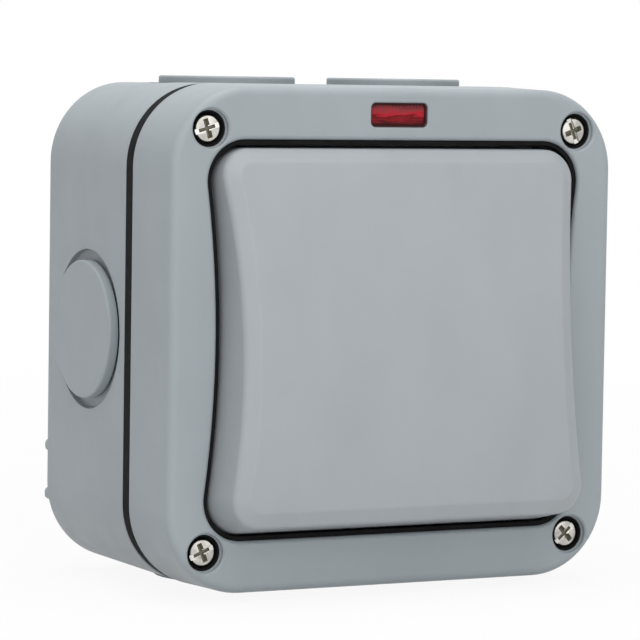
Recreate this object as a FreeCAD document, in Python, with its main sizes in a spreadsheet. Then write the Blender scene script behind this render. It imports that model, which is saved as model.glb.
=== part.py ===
import FreeCAD, Part
import math
import os
import re
import Sketcher

# Outdoor weatherproof rocker switch: a moulded box, a gasketed cover and a double-pole mechanism.
# Frame: X to the right, Z up, the wall is the plane y = 0 and the front faces -Y.
# A depth is a distance in front of the wall, so a point at depth d has y = -d.

# Driving dimensions in millimetres, and tilts in degrees
SIZES = {
    # Box
    "box_width": 96.0,
    "box_height": 96.0,
    "box_depth": 37.0,
    "corner_radius": 16.0,
    "box_wall": 2.8,
    "rear_wall": 3.0,
    "rear_draft": 0.2,
    "rear_round": 0.3,
    "rim_round": 0.4,
    "standoff": 2.0,
    # Wall fixings and the short ribs on the rear edges
    "fixing_inset": 18.0,
    "fixing_bore": 5.0,
    "fixing_boss": 10.0,
    "rib_height": 2.5,
    "rib_length": 7.0,
    "rib_round": 1.0,
    "rib_inset": 0.4,
    "rib_end": 13.5,
    "rib_pitch": 9.7,
    # Cable entries and their plugs
    "entry_level": 19.6,
    "entry_spacing": 37.2,
    "entry_bore": 20.0,
    "entry_boss_wall": 2.0,
    "entry_boss_length": 8.0,
    "spot_size": 31.0,
    "spot_depth": 1.2,
    "plug_head": 26.8,
    "plug_head_thickness": 2.0,
    "plug_round": 0.45,
    "plug_length": 10.0,
    "plug_wall": 2.4,
    "plug_clearance": 0.1,
    "plug_seal": 0.6,
    "plug_seal_margin": 0.9,
    # Gasket
    "gasket_thickness": 3.1,
    "gasket_inset": 0.2,
    "gasket_band": 4.2,
    "eyelet_size": 8.4,
    # Cover
    "cover_depth": 16.8,
    "cover_wall": 2.6,
    "cover_front": 3.0,
    "cover_draft": 0.5,
    "cover_round": 1.7,
    # Cover screws, their seals and inserts
    "screw_inset": 8.4,
    "screw_shank": 3.5,
    "screw_head": 4.9,
    "screw_head_thickness": 1.2,
    "screw_sink": 1.5,
    "screw_slack": 0.35,
    "screw_length": 28.0,
    "screw_boss": 9.0,
    "screw_well": 7.4,
    "well_lip": 1.2,
    "well_step": 0.25,
    "well_mouth": 0.35,
    "well_bevel": 45.0,
    "screw_seal": 0.8,
    "screw_seal_slack": 0.1,
    "pillar_size": 8.0,
    "insert_size": 5.0,
    "insert_length": 9.0,
    "pillar_bore_depth": 14.0,
    # Waisted recess and its tub
    "frame_end": 10.35,
    "frame_side": 10.1,
    "recess_side_radius": 208.0,
    "recess_corner": 7.8,
    "recess_depth": 12.9,
    "recess_round": 0.8,
    "tub_wall": 1.8,
    "tub_floor": 1.8,
    # Rocker
    "rocker_gap": 0.8,
    "rocker_tilt": 5.7,
    "rocker_rise": 7.9,
    "rocker_crown": 240.0,
    "rocker_draft": 7.0,
    "rocker_bevel": 2.6,
    "rocker_bevel_depth": 1.4,
    "rocker_round": 1.4,
    "rocker_crease": 1.2,
    "rocker_wall": 1.8,
    "rocker_skin": 2.2,
    "rocker_skirt_room": 0.85,
    "pivot_sink": 4.4,
    "pivot_size": 3.0,
    "pivot_slack": 0.1,
    "pivot_reach": 1.5,
    "pusher_spread": 16.0,
    "pusher_width": 20.0,
    "pusher_thickness": 2.0,
    # Rubber lip round the rocker
    "lip_sink": 0.9,
    "lip_thickness": 1.7,
    "lip_width": 0.85,
    # Boot
    "boot_flange": 1.5,
    "boot_slack": 1.5,
    "boot_wall": 1.0,
    "boot_gap": 0.3,
    "boot_room": 0.5,
    "boot_corner": 2.0,
    # Mechanism case
    "mech_width": 50.0,
    "mech_height": 44.0,
    "mech_depth": 20.0,
    "mech_corner": 2.0,
    "plate_thickness": 5.0,
    "ear_end": 4.0,
    "ear_height": 12.0,
    "mech_screw_room": 0.7,
    "mech_screw_size": 2.5,
    "mech_screw_head": 4.6,
    "mech_screw_head_thickness": 1.6,
    "mech_screw_slack": 0.15,
    "mech_screw_bite": 2.6,
    "mech_boss": 7.0,
    "rivet_inset": 2.75,
    "rivet_gap": 0.25,
    "rivet_size": 2.4,
    "rivet_head": 4.0,
    "rivet_head_thickness": 0.7,
    "cavity_side": 3.0,
    # Dolly, plungers and springs
    "dolly_width": 26.0,
    "dolly_slack": 1.0,
    "dolly_reach": 6.0,
    "dolly_wing": 10.0,
    "dolly_wing_thickness": 1.8,
    "dolly_neck": 5.5,
    "dolly_neck_reach": 3.0,
    "dolly_tail": 4.0,
    "dolly_tail_reach": 6.5,
    "dolly_pin": 2.5,
    "dolly_pin_reach": 2.5,
    "dolly_pin_slack": 0.08,
    "dolly_pin_gap": 0.25,
    "dolly_swing_room": 2.5,
    "pole_spacing": 15.0,
    "plunger_size": 3.0,
    "plunger_slack": 0.06,
    "plunger_reach": 10.0,
    "plunger_length": 6.0,
    "plunger_gap": 0.05,
    "plunger_bore_depth": 8.5,
    "spring_wall": 0.4,
    "spring_slack": 0.1,
    # Contacts
    "blade_width": 5.0,
    "blade_thickness": 0.8,
    "blade_length": 17.0,
    "blade_round": 1.0,
    "blade_tilt": 5.7,
    "tip_size": 3.0,
    "tip_thickness": 0.8,
    "tip_offset": 6.8,
    "contact_gap": 0.05,
    "fulcrum_base": 3.0,
    "fulcrum_edge": 0.2,
    "fulcrum_gap": 0.05,
    "strap_thickness": 1.0,
    "feed_strap_end": 2.0,
    "load_strap_end": 5.0,
    # Terminals
    "terminal_size": 8.0,
    "terminal_wall": 3.0,
    "strap_lap": 1.0,
    "wire_bore": 3.6,
    "wire_bore_depth": 6.5,
    "wire_level": 4.5,
    "wire_entry": 4.2,
    "terminal_screw": 3.0,
    "terminal_screw_head": 4.4,
    "terminal_screw_head_thickness": 1.2,
    "earth_inset": 15.0,
    "earth_depth": 8.0,
    # Indicator
    "lens_width": 12.2,
    "lens_lap": 0.37,
    "lens_corner": 1.0,
    "window_round": 0.3,
    "lens_slack": 0.2,
    "lens_sink": 0.9,
    "lens_flange_width": 16.0,
    "lens_flange_gap": 0.275,
    "lens_flange": 1.2,
    "lens_cheek": 1.2,
    "lens_cheek_spread": 7.8,
    "lens_cheek_tall": 4.9,
    "lens_cheek_reach": 6.0,
    "lamp_size": 4.0,
    "lamp_length": 10.0,
    "lamp_round": 1.0,
    "lamp_slack": 0.05,
    "lamp_behind": 3.2,
    "lead_size": 1.2,
    "lead_bend": 1.4,
    "lead_drop": 2.5,
    "lead_above": 3.5,
    "lead_bite": 4.0,
    "resistor_size": 2.6,
    "resistor_length": 7.0,
}

# Places worked out from the driving dimensions
DERIVED = {
    "rim": "standoff + box_depth",
    "seat": "rim + gasket_thickness",
    "cover_face": "seat + cover_depth",
    "front_inner": "cover_face - cover_front",
    "tub_front": "cover_face - recess_depth",
    "tub_back": "tub_front - tub_floor",
    "fixing_x": "box_width / 2 - fixing_inset",
    "fixing_z": "box_height / 2 - fixing_inset",
    "rib_lower": "box_height / 2 - rib_end",
    "rib_upper": "rib_lower - rib_pitch",
    "recess_height": "box_height - 2 * frame_end",
    "recess_waist": "box_width - 2 * frame_side",
    "screw_x": "box_width / 2 - screw_inset",
    "screw_z": "box_height / 2 - screw_inset",
    "head_front": "cover_face - screw_sink",
    "head_back": "head_front - screw_head_thickness",
    "well_depth": "screw_sink + screw_head_thickness + screw_seal",
    "well_bore": "screw_well - 2 * well_step",
    "screw_hole": "screw_shank + 2 * screw_slack",
    "entry_depth": "standoff + entry_level",
    "entry_lean": "rear_draft * (box_depth - entry_level) / box_depth",
    "spot_top": "box_height / 2 - entry_lean - spot_depth",
    "spot_side": "box_width / 2 - entry_lean - spot_depth",
    "entry_boss": "entry_bore + 2 * entry_boss_wall",
    "plug_shank": "entry_bore - 2 * plug_clearance",
    "pivot_depth": "cover_face - pivot_sink",
    "rocker_half": "recess_height / 2 - rocker_gap",
    "rocker_apex": "rocker_rise + pivot_sink",
    "rocker_sag": "rocker_half * rocker_half / (2 * rocker_crown)",
    "rocker_inner": "rocker_apex - rocker_sag - rocker_skin",
    "rocker_swing": "rocker_half * sin(rocker_tilt) + rocker_skirt_room",
    "rocker_skirt": "(recess_depth - pivot_sink - (rocker_swing)) / cos(rocker_tilt)",
    "plate_front": "tub_back - boot_flange",
    "plate_rear": "plate_front - plate_thickness",
    "mech_rear": "plate_rear - mech_depth",
    "dolly_pivot": "plate_rear + plate_thickness / 2",
    "boot_top": "dolly_reach + boot_gap + boot_wall",
    "boot_inner_width": "dolly_width + 2 * boot_room",
    "boot_inner_height": "2 * (dolly_wing + boot_room)",
    "boot_opening_width": "boot_inner_width + 2 * boot_wall + 2 * boot_slack",
    "boot_opening_height": "boot_inner_height + 2 * boot_wall + 2 * boot_slack",
    "mech_screw_x": "mech_width / 2 + mech_screw_head / 2 + mech_screw_room",
    "ear_span": "2 * (mech_screw_x + ear_end)",
    "rivet_x": "mech_width / 2 - rivet_inset",
    "rivet_z": "mech_height / 2 - rivet_inset",
    "boot_flange_width": "2 * (mech_screw_x - mech_boss / 2 - boot_slack)",
    "boot_flange_height": "2 * (rivet_z - rivet_head / 2 - rivet_gap)",
    "cavity_width": "dolly_width + 2 * cavity_side",
    "cavity_height": "2 * (terminal_inner + strap_lap)",
    "pusher_tip": "pivot_depth - dolly_pivot - boot_top - boot_gap",
    "pole_x": "pole_spacing / 2",
    "plunger_bore": "plunger_size + 2 * plunger_slack",
    "plunger_back": "plunger_reach - plunger_length",
    "spring_end": "plunger_bore_depth - dolly_tail_reach",
    "spring_size": "plunger_bore - 2 * spring_slack",
    "blade_depth": "dolly_pivot - plunger_reach - plunger_gap - blade_thickness",
    "tip_swing": "tip_thickness * cos(blade_tilt) + (tip_offset + tip_size / 2) * sin(blade_tilt)",
    "fixed_front": "blade_depth - tip_swing - contact_gap",
    "strap_front": "fixed_front - tip_thickness",
    "strap_back": "strap_front - strap_thickness",
    "terminal_offset": "mech_height / 2 - terminal_wall - terminal_size / 2",
    "terminal_inner": "terminal_offset - terminal_size / 2",
    "wire_depth": "mech_rear + wire_level",
    "lens_room": "frame_end - tub_wall - cover_wall",
    "lens_height": "box_height / 2 - cover_wall - lens_room / 2",
    "lens_flange_tall": "lens_room - 2 * lens_flange_gap",
    "lens_tall": "lens_flange_tall - 2 * lens_lap",
    "lens_back": "front_inner - lens_flange",
    "lamp_depth": "lens_back - lamp_behind",
    "lead_front": "rim - lead_drop",
    "earth_drop": "box_height / 2 - earth_inset",
    "earth_front": "standoff + rear_wall + earth_depth",
}

WORD = re.compile(r"[A-Za-z_][A-Za-z0-9_]*")
X_AXIS = FreeCAD.Vector(1, 0, 0)
Y_AXIS = FreeCAD.Vector(0, 1, 0)
Z_AXIS = FreeCAD.Vector(0, 0, 1)
TURNS = {
    "up": FreeCAD.Rotation(),
    "right": FreeCAD.Rotation(Y_AXIS, 90),
    "left": FreeCAD.Rotation(Y_AXIS, -90),
    "down": FreeCAD.Rotation(X_AXIS, 180),
    "front": FreeCAD.Rotation(X_AXIS, 90),
    "back": FreeCAD.Rotation(X_AXIS, -90),
}
NEAR = 1e-4
SIGNS = (-1, 1)
SIDES = {"left": -1, "right": 1}
POLES = {"line": -1, "neutral": 1}

doc = FreeCAD.newDocument("weatherproof_switch")
sheet = doc.addObject("Spreadsheet::Sheet", "Sizes")
for row, (alias, number) in enumerate(SIZES.items(), start=1):
    sheet.set(f"A{row}", str(number))
    sheet.setAlias(f"A{row}", alias)
doc.recompute()

nodes = []


# Expressions

def expand(text):
    """Write a size expression with the sheet's cells in place of its words."""
    def swap(match):
        word = match.group(0)
        if word in SIZES:
            return f"Sizes.{word}"
        if word in DERIVED:
            return f"({expand(DERIVED[word])})"
        return word
    return WORD.sub(swap, text)


def value(text):
    """Work out a size expression as a plain number."""
    number = sheet.evalExpression(expand(text))
    return float(getattr(number, "Value", number))


def bind(item, place, text):
    """Tie one property of an object to a size expression."""
    item.setExpression(place, expand(text))


def signed(sign, text):
    """Give a size expression a sign."""
    return text if sign > 0 else f"-({text})"


def four_corners(x, y):
    """List the four places at plus and minus x and y."""
    return [(signed(sx, x), signed(sy, y)) for sx in SIGNS for sy in SIGNS]


def keep(item, label):
    """Name a finished piece, which is written to a file of that name."""
    item.Label = label
    nodes.append(item)
    return item


# Sketches

def new_body(label):
    """Start a body for one piece."""
    return doc.addObject("PartDesign::Body", label)


def new_sketch(body, name, role, offset="0"):
    """Put a sketch on one of a body's own planes, moved along the plane's normal."""
    sketch = body.newObject("Sketcher::SketchObject", name)
    plane = next(item for item in body.Origin.OriginFeatures if item.Role == role)
    sketch.AttachmentSupport = [(plane, "")]
    sketch.MapMode = "FlatFace"
    bind(sketch, "AttachmentOffset.Base.z", offset)
    return sketch


def tilt_sketch(sketch, pivot, reach, tilt):
    """Lean a front-facing sketch about a level axis at the pivot's depth, reach in front of it."""
    sketch.AttachmentOffset = FreeCAD.Placement(FreeCAD.Vector(), FreeCAD.Rotation(X_AXIS, 1))
    bind(sketch, "AttachmentOffset.Base.y", f"({reach}) * sin({tilt})")
    bind(sketch, "AttachmentOffset.Base.z", f"{pivot} + ({reach}) * cos({tilt})")
    bind(sketch, "AttachmentOffset.Rotation.Angle", f"-{tilt}")


def dimension(sketch, kind, places, text):
    """Add one dimension to a sketch, tied to a size expression."""
    index = sketch.addConstraint(Sketcher.Constraint(kind, *places, value(text)))
    bind(sketch, f"Constraints[{index}]", text)


def pin_point(sketch, shape, point, x, y):
    """Fix a point of a sketch at x and y from its origin."""
    dimension(sketch, "DistanceX", (-1, 1, shape, point), x)
    dimension(sketch, "DistanceY", (-1, 1, shape, point), y)


def add_circles(sketch, size, centres):
    """Draw circles of one diameter at the given centres."""
    for x, y in centres:
        centre = FreeCAD.Vector(value(x), value(y), 0)
        circle = sketch.addGeometry(Part.Circle(centre, Z_AXIS, value(size) / 2), False)
        pin_point(sketch, circle, 3, x, y)
        dimension(sketch, "Diameter", (circle,), size)


def add_arc(sketch, x, y, radius, start, end):
    """Draw an arc, with its angles in degrees."""
    circle = Part.Circle(FreeCAD.Vector(x, y, 0), Z_AXIS, radius)
    return sketch.addGeometry(Part.ArcOfCircle(circle, math.radians(start), math.radians(end)), False)


def add_line(sketch, start, end):
    """Draw a straight line between two points."""
    return sketch.addGeometry(Part.LineSegment(FreeCAD.Vector(*start, 0), FreeCAD.Vector(*end, 0)), False)


def rounded_rectangle(sketch, width, height, radius, x="0", y="0"):
    """Draw a rectangle with rounded corners about a centre."""
    half_w = value(width) / 2 - value(radius)
    half_h = value(height) / 2 - value(radius)
    r = value(radius)
    cx, cy = value(x), value(y)
    quarters = ((1, 1), (-1, 1), (-1, -1), (1, -1))
    arcs = [
        add_arc(sketch, cx + sx * half_w, cy + sy * half_h, r, 90 * turn, 90 * turn + 90)
        for turn, (sx, sy) in enumerate(quarters)
    ]
    lines = [
        add_line(sketch, (cx + half_w, cy + half_h + r), (cx - half_w, cy + half_h + r)),
        add_line(sketch, (cx - half_w - r, cy + half_h), (cx - half_w - r, cy - half_h)),
        add_line(sketch, (cx - half_w, cy - half_h - r), (cx + half_w, cy - half_h - r)),
        add_line(sketch, (cx + half_w + r, cy - half_h), (cx + half_w + r, cy + half_h)),
    ]
    for turn, line in enumerate(lines):
        sketch.addConstraint(Sketcher.Constraint("Tangent", arcs[turn], 2, line, 1))
        sketch.addConstraint(Sketcher.Constraint("Tangent", line, 2, arcs[(turn + 1) % 4], 1))
        sketch.addConstraint(Sketcher.Constraint("Vertical" if turn % 2 else "Horizontal", line))
    for arc in arcs[1:]:
        sketch.addConstraint(Sketcher.Constraint("Equal", arcs[0], arc))
    dimension(sketch, "Radius", (arcs[0],), radius)
    dimension(sketch, "DistanceX", (arcs[1], 3, arcs[0], 3), f"{width} - 2 * ({radius})")
    dimension(sketch, "DistanceY", (arcs[3], 3, arcs[0], 3), f"{height} - 2 * ({radius})")
    pin_point(sketch, arcs[0], 3, f"{x} + ({width}) / 2 - ({radius})", f"{y} + ({height}) / 2 - ({radius})")


def waisted_outline(sketch, grow):
    """Draw the recess outline, grown all round: straight ends and hollow sides with round corners."""
    height = f"recess_height + 2 * ({grow})"
    waist = f"recess_waist + 2 * ({grow})"
    side = f"recess_side_radius - ({grow})"
    corner = f"recess_corner + {grow}"
    top = value(height) / 2
    side_r = value(side)
    corner_r = value(corner)
    side_x = value(waist) / 2 + side_r
    corner_y = top - corner_r
    corner_x = side_x - math.sqrt((side_r + corner_r) ** 2 - corner_y ** 2)
    lean = math.degrees(math.atan2(corner_y, side_x - corner_x))
    upper_right = add_arc(sketch, corner_x, corner_y, corner_r, -lean, 90)
    top_line = add_line(sketch, (corner_x, top), (-corner_x, top))
    upper_left = add_arc(sketch, -corner_x, corner_y, corner_r, 90, 180 + lean)
    left = add_arc(sketch, -side_x, 0, side_r, -lean, lean)
    lower_left = add_arc(sketch, -corner_x, -corner_y, corner_r, 180 - lean, 270)
    bottom_line = add_line(sketch, (-corner_x, -top), (corner_x, -top))
    lower_right = add_arc(sketch, corner_x, -corner_y, corner_r, 270, 360 + lean)
    right = add_arc(sketch, side_x, 0, side_r, 180 - lean, 180 + lean)
    joins = (
        (upper_right, 2, top_line, 1),
        (top_line, 2, upper_left, 1),
        (upper_left, 2, left, 2),
        (left, 1, lower_left, 1),
        (lower_left, 2, bottom_line, 1),
        (bottom_line, 2, lower_right, 1),
        (lower_right, 2, right, 2),
        (right, 1, upper_right, 1),
    )
    for join in joins:
        sketch.addConstraint(Sketcher.Constraint("Tangent", *join))
    sketch.addConstraint(Sketcher.Constraint("Horizontal", top_line))
    sketch.addConstraint(Sketcher.Constraint("Horizontal", bottom_line))
    for arc in (upper_left, lower_left, lower_right):
        sketch.addConstraint(Sketcher.Constraint("Equal", upper_right, arc))
    sketch.addConstraint(Sketcher.Constraint("Equal", right, left))
    sketch.addConstraint(Sketcher.Constraint("PointOnObject", right, 3, -1))
    sketch.addConstraint(Sketcher.Constraint("Symmetric", left, 3, right, 3, -1, 1))
    dimension(sketch, "Radius", (upper_right,), corner)
    dimension(sketch, "Radius", (right,), side)
    dimension(sketch, "DistanceX", (-1, 1, right, 3), f"({waist}) / 2 + {side}")
    dimension(sketch, "DistanceY", (-1, 1, top_line, 1), f"({height}) / 2")
    dimension(sketch, "DistanceY", (bottom_line, 1, -1, 1), f"({height}) / 2")


def add_polygon(sketch, points):
    """Draw a closed outline of straight lines through the given points."""
    places = [(value(x), value(y)) for x, y in points]
    lines = [add_line(sketch, start, end) for start, end in zip(places, places[1:] + places[:1])]
    for index, line in enumerate(lines):
        following = lines[(index + 1) % len(lines)]
        sketch.addConstraint(Sketcher.Constraint("Coincident", line, 2, following, 1))
        pin_point(sketch, line, 1, *points[index])


# Features of a body

def pad(body, sketch, length, backwards=False, both_ways=False, lean=None):
    """Raise a sketch along its normal, or against it, or evenly to both sides."""
    feature = body.newObject("PartDesign::Pad", f"{sketch.Name}_pad")
    feature.Profile = sketch
    feature.Reversed = backwards
    feature.SideType = "Symmetric" if both_ways else "One side"
    bind(feature, "Length", length)
    if lean:
        bind(feature, "TaperAngle", lean)
    doc.recompute()
    return feature


def pocket(body, sketch, length, forwards=False, both_ways=False, lean=None):
    """Cut a sketch into the body against its normal, or along it, or evenly to both sides."""
    before = body.Shape.Volume
    feature = body.newObject("PartDesign::Pocket", f"{sketch.Name}_cut")
    feature.Profile = sketch
    feature.Reversed = forwards
    feature.SideType = "Symmetric" if both_ways else "One side"
    bind(feature, "Length", length)
    if lean:
        bind(feature, "TaperAngle", lean)
    doc.recompute()
    if body.Shape.Volume >= before:
        raise RuntimeError(f"{feature.Name} cuts nothing")
    return feature


def pick_edges(body, chosen):
    """Name the edges of a body's last feature that a test picks out."""
    edges = enumerate(body.Tip.Shape.Edges, start=1)
    return (body.Tip, [f"Edge{i}" for i, edge in edges if chosen(edge)])


def round_edges(body, name, radius, chosen):
    """Round the edges of a body that a test picks out."""
    picked = pick_edges(body, chosen)
    feature = body.newObject("PartDesign::Fillet", name)
    feature.Base = picked
    bind(feature, "Radius", radius)
    doc.recompute()
    return feature


def bevel_edges(body, name, across, down, chosen):
    """Bevel the edges of a body that a test picks out, by two different widths."""
    picked = pick_edges(body, chosen)
    feature = body.newObject("PartDesign::Chamfer", name)
    feature.Base = picked
    feature.ChamferType = "Two distances"
    bind(feature, "Size", down)
    bind(feature, "Size2", across)
    doc.recompute()
    return feature


def at_depth(depth):
    """Make a test for edges that lie flat at a depth."""
    level = -value(depth)

    def chosen(edge):
        box = edge.BoundBox
        return abs(box.YMin - level) < NEAR and abs(box.YMax - level) < NEAR
    return chosen


def at_height(height):
    """Make a test for edges that lie flat at a height."""
    level = value(height)

    def chosen(edge):
        box = edge.BoundBox
        return abs(box.ZMin - level) < NEAR and abs(box.ZMax - level) < NEAR
    return chosen


# Plain solids and their joining

def put(item, x, depth, z):
    """Tie an object's place to size expressions."""
    bind(item, "Placement.Base.x", x)
    bind(item, "Placement.Base.y", f"-({depth})")
    bind(item, "Placement.Base.z", z)
    return item


def cylinder(name, way, size, length, x, depth, z):
    """Make a cylinder that starts at a place and runs one way."""
    item = doc.addObject("Part::Cylinder", name)
    item.Placement = FreeCAD.Placement(FreeCAD.Vector(), TURNS[way])
    bind(item, "Radius", f"({size}) / 2")
    bind(item, "Height", length)
    return put(item, x, depth, z)


def tilted_cylinder(name, size, length, x, pivot, behind, above, tilt):
    """Make a cylinder that runs backwards, leaned about a level axis at the pivot's depth.

    It starts behind and above the axis by the given sizes, before the lean.
    """
    item = doc.addObject("Part::Cylinder", name)
    item.Placement = FreeCAD.Placement(FreeCAD.Vector(), TURNS["back"])
    bind(item, "Placement.Rotation.Angle", f"{tilt} - 90")
    bind(item, "Radius", f"({size}) / 2")
    bind(item, "Height", length)
    depth = f"{pivot} - ({behind}) * cos({tilt}) + ({above}) * sin({tilt})"
    return put(item, x, depth, f"({behind}) * sin({tilt}) + ({above}) * cos({tilt})")


def block(name, width, thickness, height, x, depth, z):
    """Make a box centred on x and z, from a depth forwards."""
    item = doc.addObject("Part::Box", name)
    bind(item, "Length", width)
    bind(item, "Width", thickness)
    bind(item, "Height", height)
    return put(item, f"{x} - ({width}) / 2", f"{depth} + {thickness}", f"{z} - ({height}) / 2")


def fuse(name, *pieces):
    """Join solids into one."""
    item = doc.addObject("Part::MultiFuse", name)
    item.Shapes = list(pieces)
    return item


def cut(name, base, *tools):
    """Take solids away from one."""
    item = doc.addObject("Part::Cut", name)
    item.Base = base
    item.Tool = tools[0] if len(tools) == 1 else fuse(f"{name}_tools", *tools)
    return item


def group(name, *pieces):
    """Gather like solids that stay separate."""
    item = doc.addObject("Part::Compound", name)
    item.Links = list(pieces)
    return item


# Housing

def build_back_box():
    """Model the box: drafted walls, corner pillars, cable entries and stand-offs for the wall."""
    body = new_body("back_box")
    outline = new_sketch(body, "box_outline", "XZ_Plane", "rim")
    rounded_rectangle(outline, "box_width", "box_height", "corner_radius")
    pad(body, outline, "box_depth", backwards=True, lean="-atan(rear_draft / box_depth)")
    round_edges(body, "box_rear_round", "rear_round", at_depth("standoff"))
    round_edges(body, "box_rim_round", "rim_round", at_depth("rim"))

    cavity = new_sketch(body, "box_cavity", "XZ_Plane", "rim")
    inner_width, inner_height = "box_width - 2 * box_wall", "box_height - 2 * box_wall"
    rounded_rectangle(cavity, inner_width, inner_height, "corner_radius - box_wall")
    pocket(body, cavity, "box_depth - rear_wall")

    pillars = new_sketch(body, "pillars", "XZ_Plane", "rim")
    add_circles(pillars, "pillar_size", four_corners("screw_x", "screw_z"))
    pad(body, pillars, "box_depth - rear_wall / 2", backwards=True)
    pillar_bores = new_sketch(body, "pillar_bores", "XZ_Plane", "rim")
    add_circles(pillar_bores, "insert_size", four_corners("screw_x", "screw_z"))
    pocket(body, pillar_bores, "pillar_bore_depth")

    level = "-(entry_depth)"
    ends = [(signed(side, "entry_spacing / 2"), level) for side in SIGNS]
    middle = [(level, "0")]
    for way, sign in (("top", 1), ("bottom", -1)):
        entry_features(body, way, "XY_Plane", sign, "box_height / 2", "spot_top", ends)
    for way, sign in (("right", 1), ("left", -1)):
        entry_features(body, way, "YZ_Plane", sign, "box_width / 2", "spot_side", middle)
    for name, role, span, centres in (
        ("upright_bores", "XY_Plane", "box_height", ends),
        ("level_bores", "YZ_Plane", "box_width", middle),
    ):
        bores = new_sketch(body, name, role)
        add_circles(bores, "entry_bore", centres)
        pocket(body, bores, span, both_ways=True)

    bosses = new_sketch(body, "fixing_bosses", "XZ_Plane")
    fixings = four_corners("fixing_x", "fixing_z")
    add_circles(bosses, "fixing_boss", fixings)
    pad(body, bosses, "standoff + rear_wall / 2")
    ribs = new_sketch(body, "edge_ribs", "XZ_Plane")
    rib_x = "box_width / 2 - rear_draft - rib_inset - rib_length / 2"
    for side in SIGNS:
        for drop in ("rib_upper", "rib_lower"):
            place = (signed(side, rib_x), f"-({drop})")
            rounded_rectangle(ribs, "rib_length", "rib_height", "rib_round", *place)
    pad(body, ribs, "standoff + rear_wall")
    holes = new_sketch(body, "fixing_holes", "XZ_Plane")
    add_circles(holes, "fixing_bore", fixings)
    pocket(body, holes, "standoff + rear_wall", forwards=True)
    keep(body, "back_box")


def entry_features(body, way, role, sign, wall, spot, centres):
    """Cut the flat seats of the cable entries in one wall, and raise the bosses inside it."""
    seats = new_sketch(body, f"{way}_seats", role, signed(sign, wall))
    add_circles(seats, "spot_size", centres)
    pocket(body, seats, f"{wall} - {spot}", forwards=sign < 0)
    bosses = new_sketch(body, f"{way}_bosses", role, signed(sign, spot))
    add_circles(bosses, "entry_boss", centres)
    pad(body, bosses, "entry_boss_length", backwards=sign > 0)


def build_front_cover():
    """Model the cover: a skirt, the waisted tub that the rocker sits in, screw wells and lens window."""
    body = new_body("front_cover")
    outline = new_sketch(body, "cover_outline", "XZ_Plane", "seat")
    rounded_rectangle(outline, "box_width", "box_height", "corner_radius")
    pad(body, outline, "cover_depth", lean="-atan(cover_draft / cover_depth)")
    round_edges(body, "cover_rear_round", "rim_round", at_depth("seat"))
    round_edges(body, "cover_front_round", "cover_round", at_depth("cover_face"))

    cavity = new_sketch(body, "cover_cavity", "XZ_Plane", "seat")
    inner_width, inner_height = "box_width - 2 * cover_wall", "box_height - 2 * cover_wall"
    rounded_rectangle(cavity, inner_width, inner_height, "corner_radius - cover_wall")
    pocket(body, cavity, "cover_depth - cover_front", forwards=True)

    tub = new_sketch(body, "tub", "XZ_Plane", "tub_back")
    waisted_outline(tub, "tub_wall")
    pad(body, tub, "recess_depth + tub_floor - cover_front / 2")
    screws = four_corners("screw_x", "screw_z")
    bosses = new_sketch(body, "screw_bosses", "XZ_Plane", "seat")
    add_circles(bosses, "screw_boss", screws)
    pad(body, bosses, "cover_depth - cover_front / 2")
    mech_screws = [(signed(side, "mech_screw_x"), "0") for side in SIGNS]
    mech_bosses = new_sketch(body, "mech_bosses", "XZ_Plane", "plate_front")
    add_circles(mech_bosses, "mech_boss", mech_screws)
    pad(body, mech_bosses, "boot_flange + tub_floor / 2")

    recess = new_sketch(body, "recess", "XZ_Plane", "cover_face")
    waisted_outline(recess, "0")
    pocket(body, recess, "recess_depth")
    round_edges(body, "recess_rim", "recess_round", recess_rim_test())
    opening = new_sketch(body, "boot_opening", "XZ_Plane", "tub_front")
    rounded_rectangle(opening, "boot_opening_width", "boot_opening_height", "boot_corner")
    pocket(body, opening, "tub_floor")

    wells = new_sketch(body, "screw_wells", "XZ_Plane", "cover_face")
    add_circles(wells, "screw_well", screws)
    pocket(body, wells, "well_lip")
    mouths = new_sketch(body, "well_mouths", "XZ_Plane", "cover_face")
    add_circles(mouths, "screw_well + 2 * well_mouth", screws)
    pocket(body, mouths, "well_mouth", lean="-well_bevel")
    bores = new_sketch(body, "well_bores", "XZ_Plane", "cover_face")
    add_circles(bores, "well_bore", screws)
    pocket(body, bores, "well_depth")
    holes = new_sketch(body, "screw_holes", "XZ_Plane", "cover_face")
    add_circles(holes, "screw_hole", screws)
    pocket(body, holes, "cover_depth")
    window = new_sketch(body, "lens_window", "XZ_Plane", "cover_face")
    rounded_rectangle(window, "lens_width", "lens_tall", "lens_corner", "0", "lens_height")
    pocket(body, window, "cover_front")
    round_edges(body, "window_rim", "window_round", window_rim_test())
    pivots = new_sketch(body, "pivot_holes", "YZ_Plane")
    add_circles(pivots, "pivot_size + 2 * pivot_slack", [("-(pivot_depth)", "0")])
    pocket(body, pivots, "recess_waist + 2 * tub_wall + rocker_gap", both_ways=True)
    bites = new_sketch(body, "mech_screw_bites", "XZ_Plane", "plate_front")
    add_circles(bites, "mech_screw_size", mech_screws)
    pocket(body, bites, "mech_screw_bite", forwards=True)
    keep(body, "front_cover")


def recess_rim_test():
    """Make a test for the edges of the recess in the cover's front face."""
    flat = at_depth("cover_face")
    reach_x = value("box_width / 2 - cover_draft - cover_round") - NEAR
    reach_z = value("recess_height / 2") + NEAR

    def chosen(edge):
        box = edge.BoundBox
        across = max(abs(box.XMin), abs(box.XMax)) < reach_x
        upright = max(abs(box.ZMin), abs(box.ZMax)) < reach_z
        return flat(edge) and across and upright
    return chosen


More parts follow.
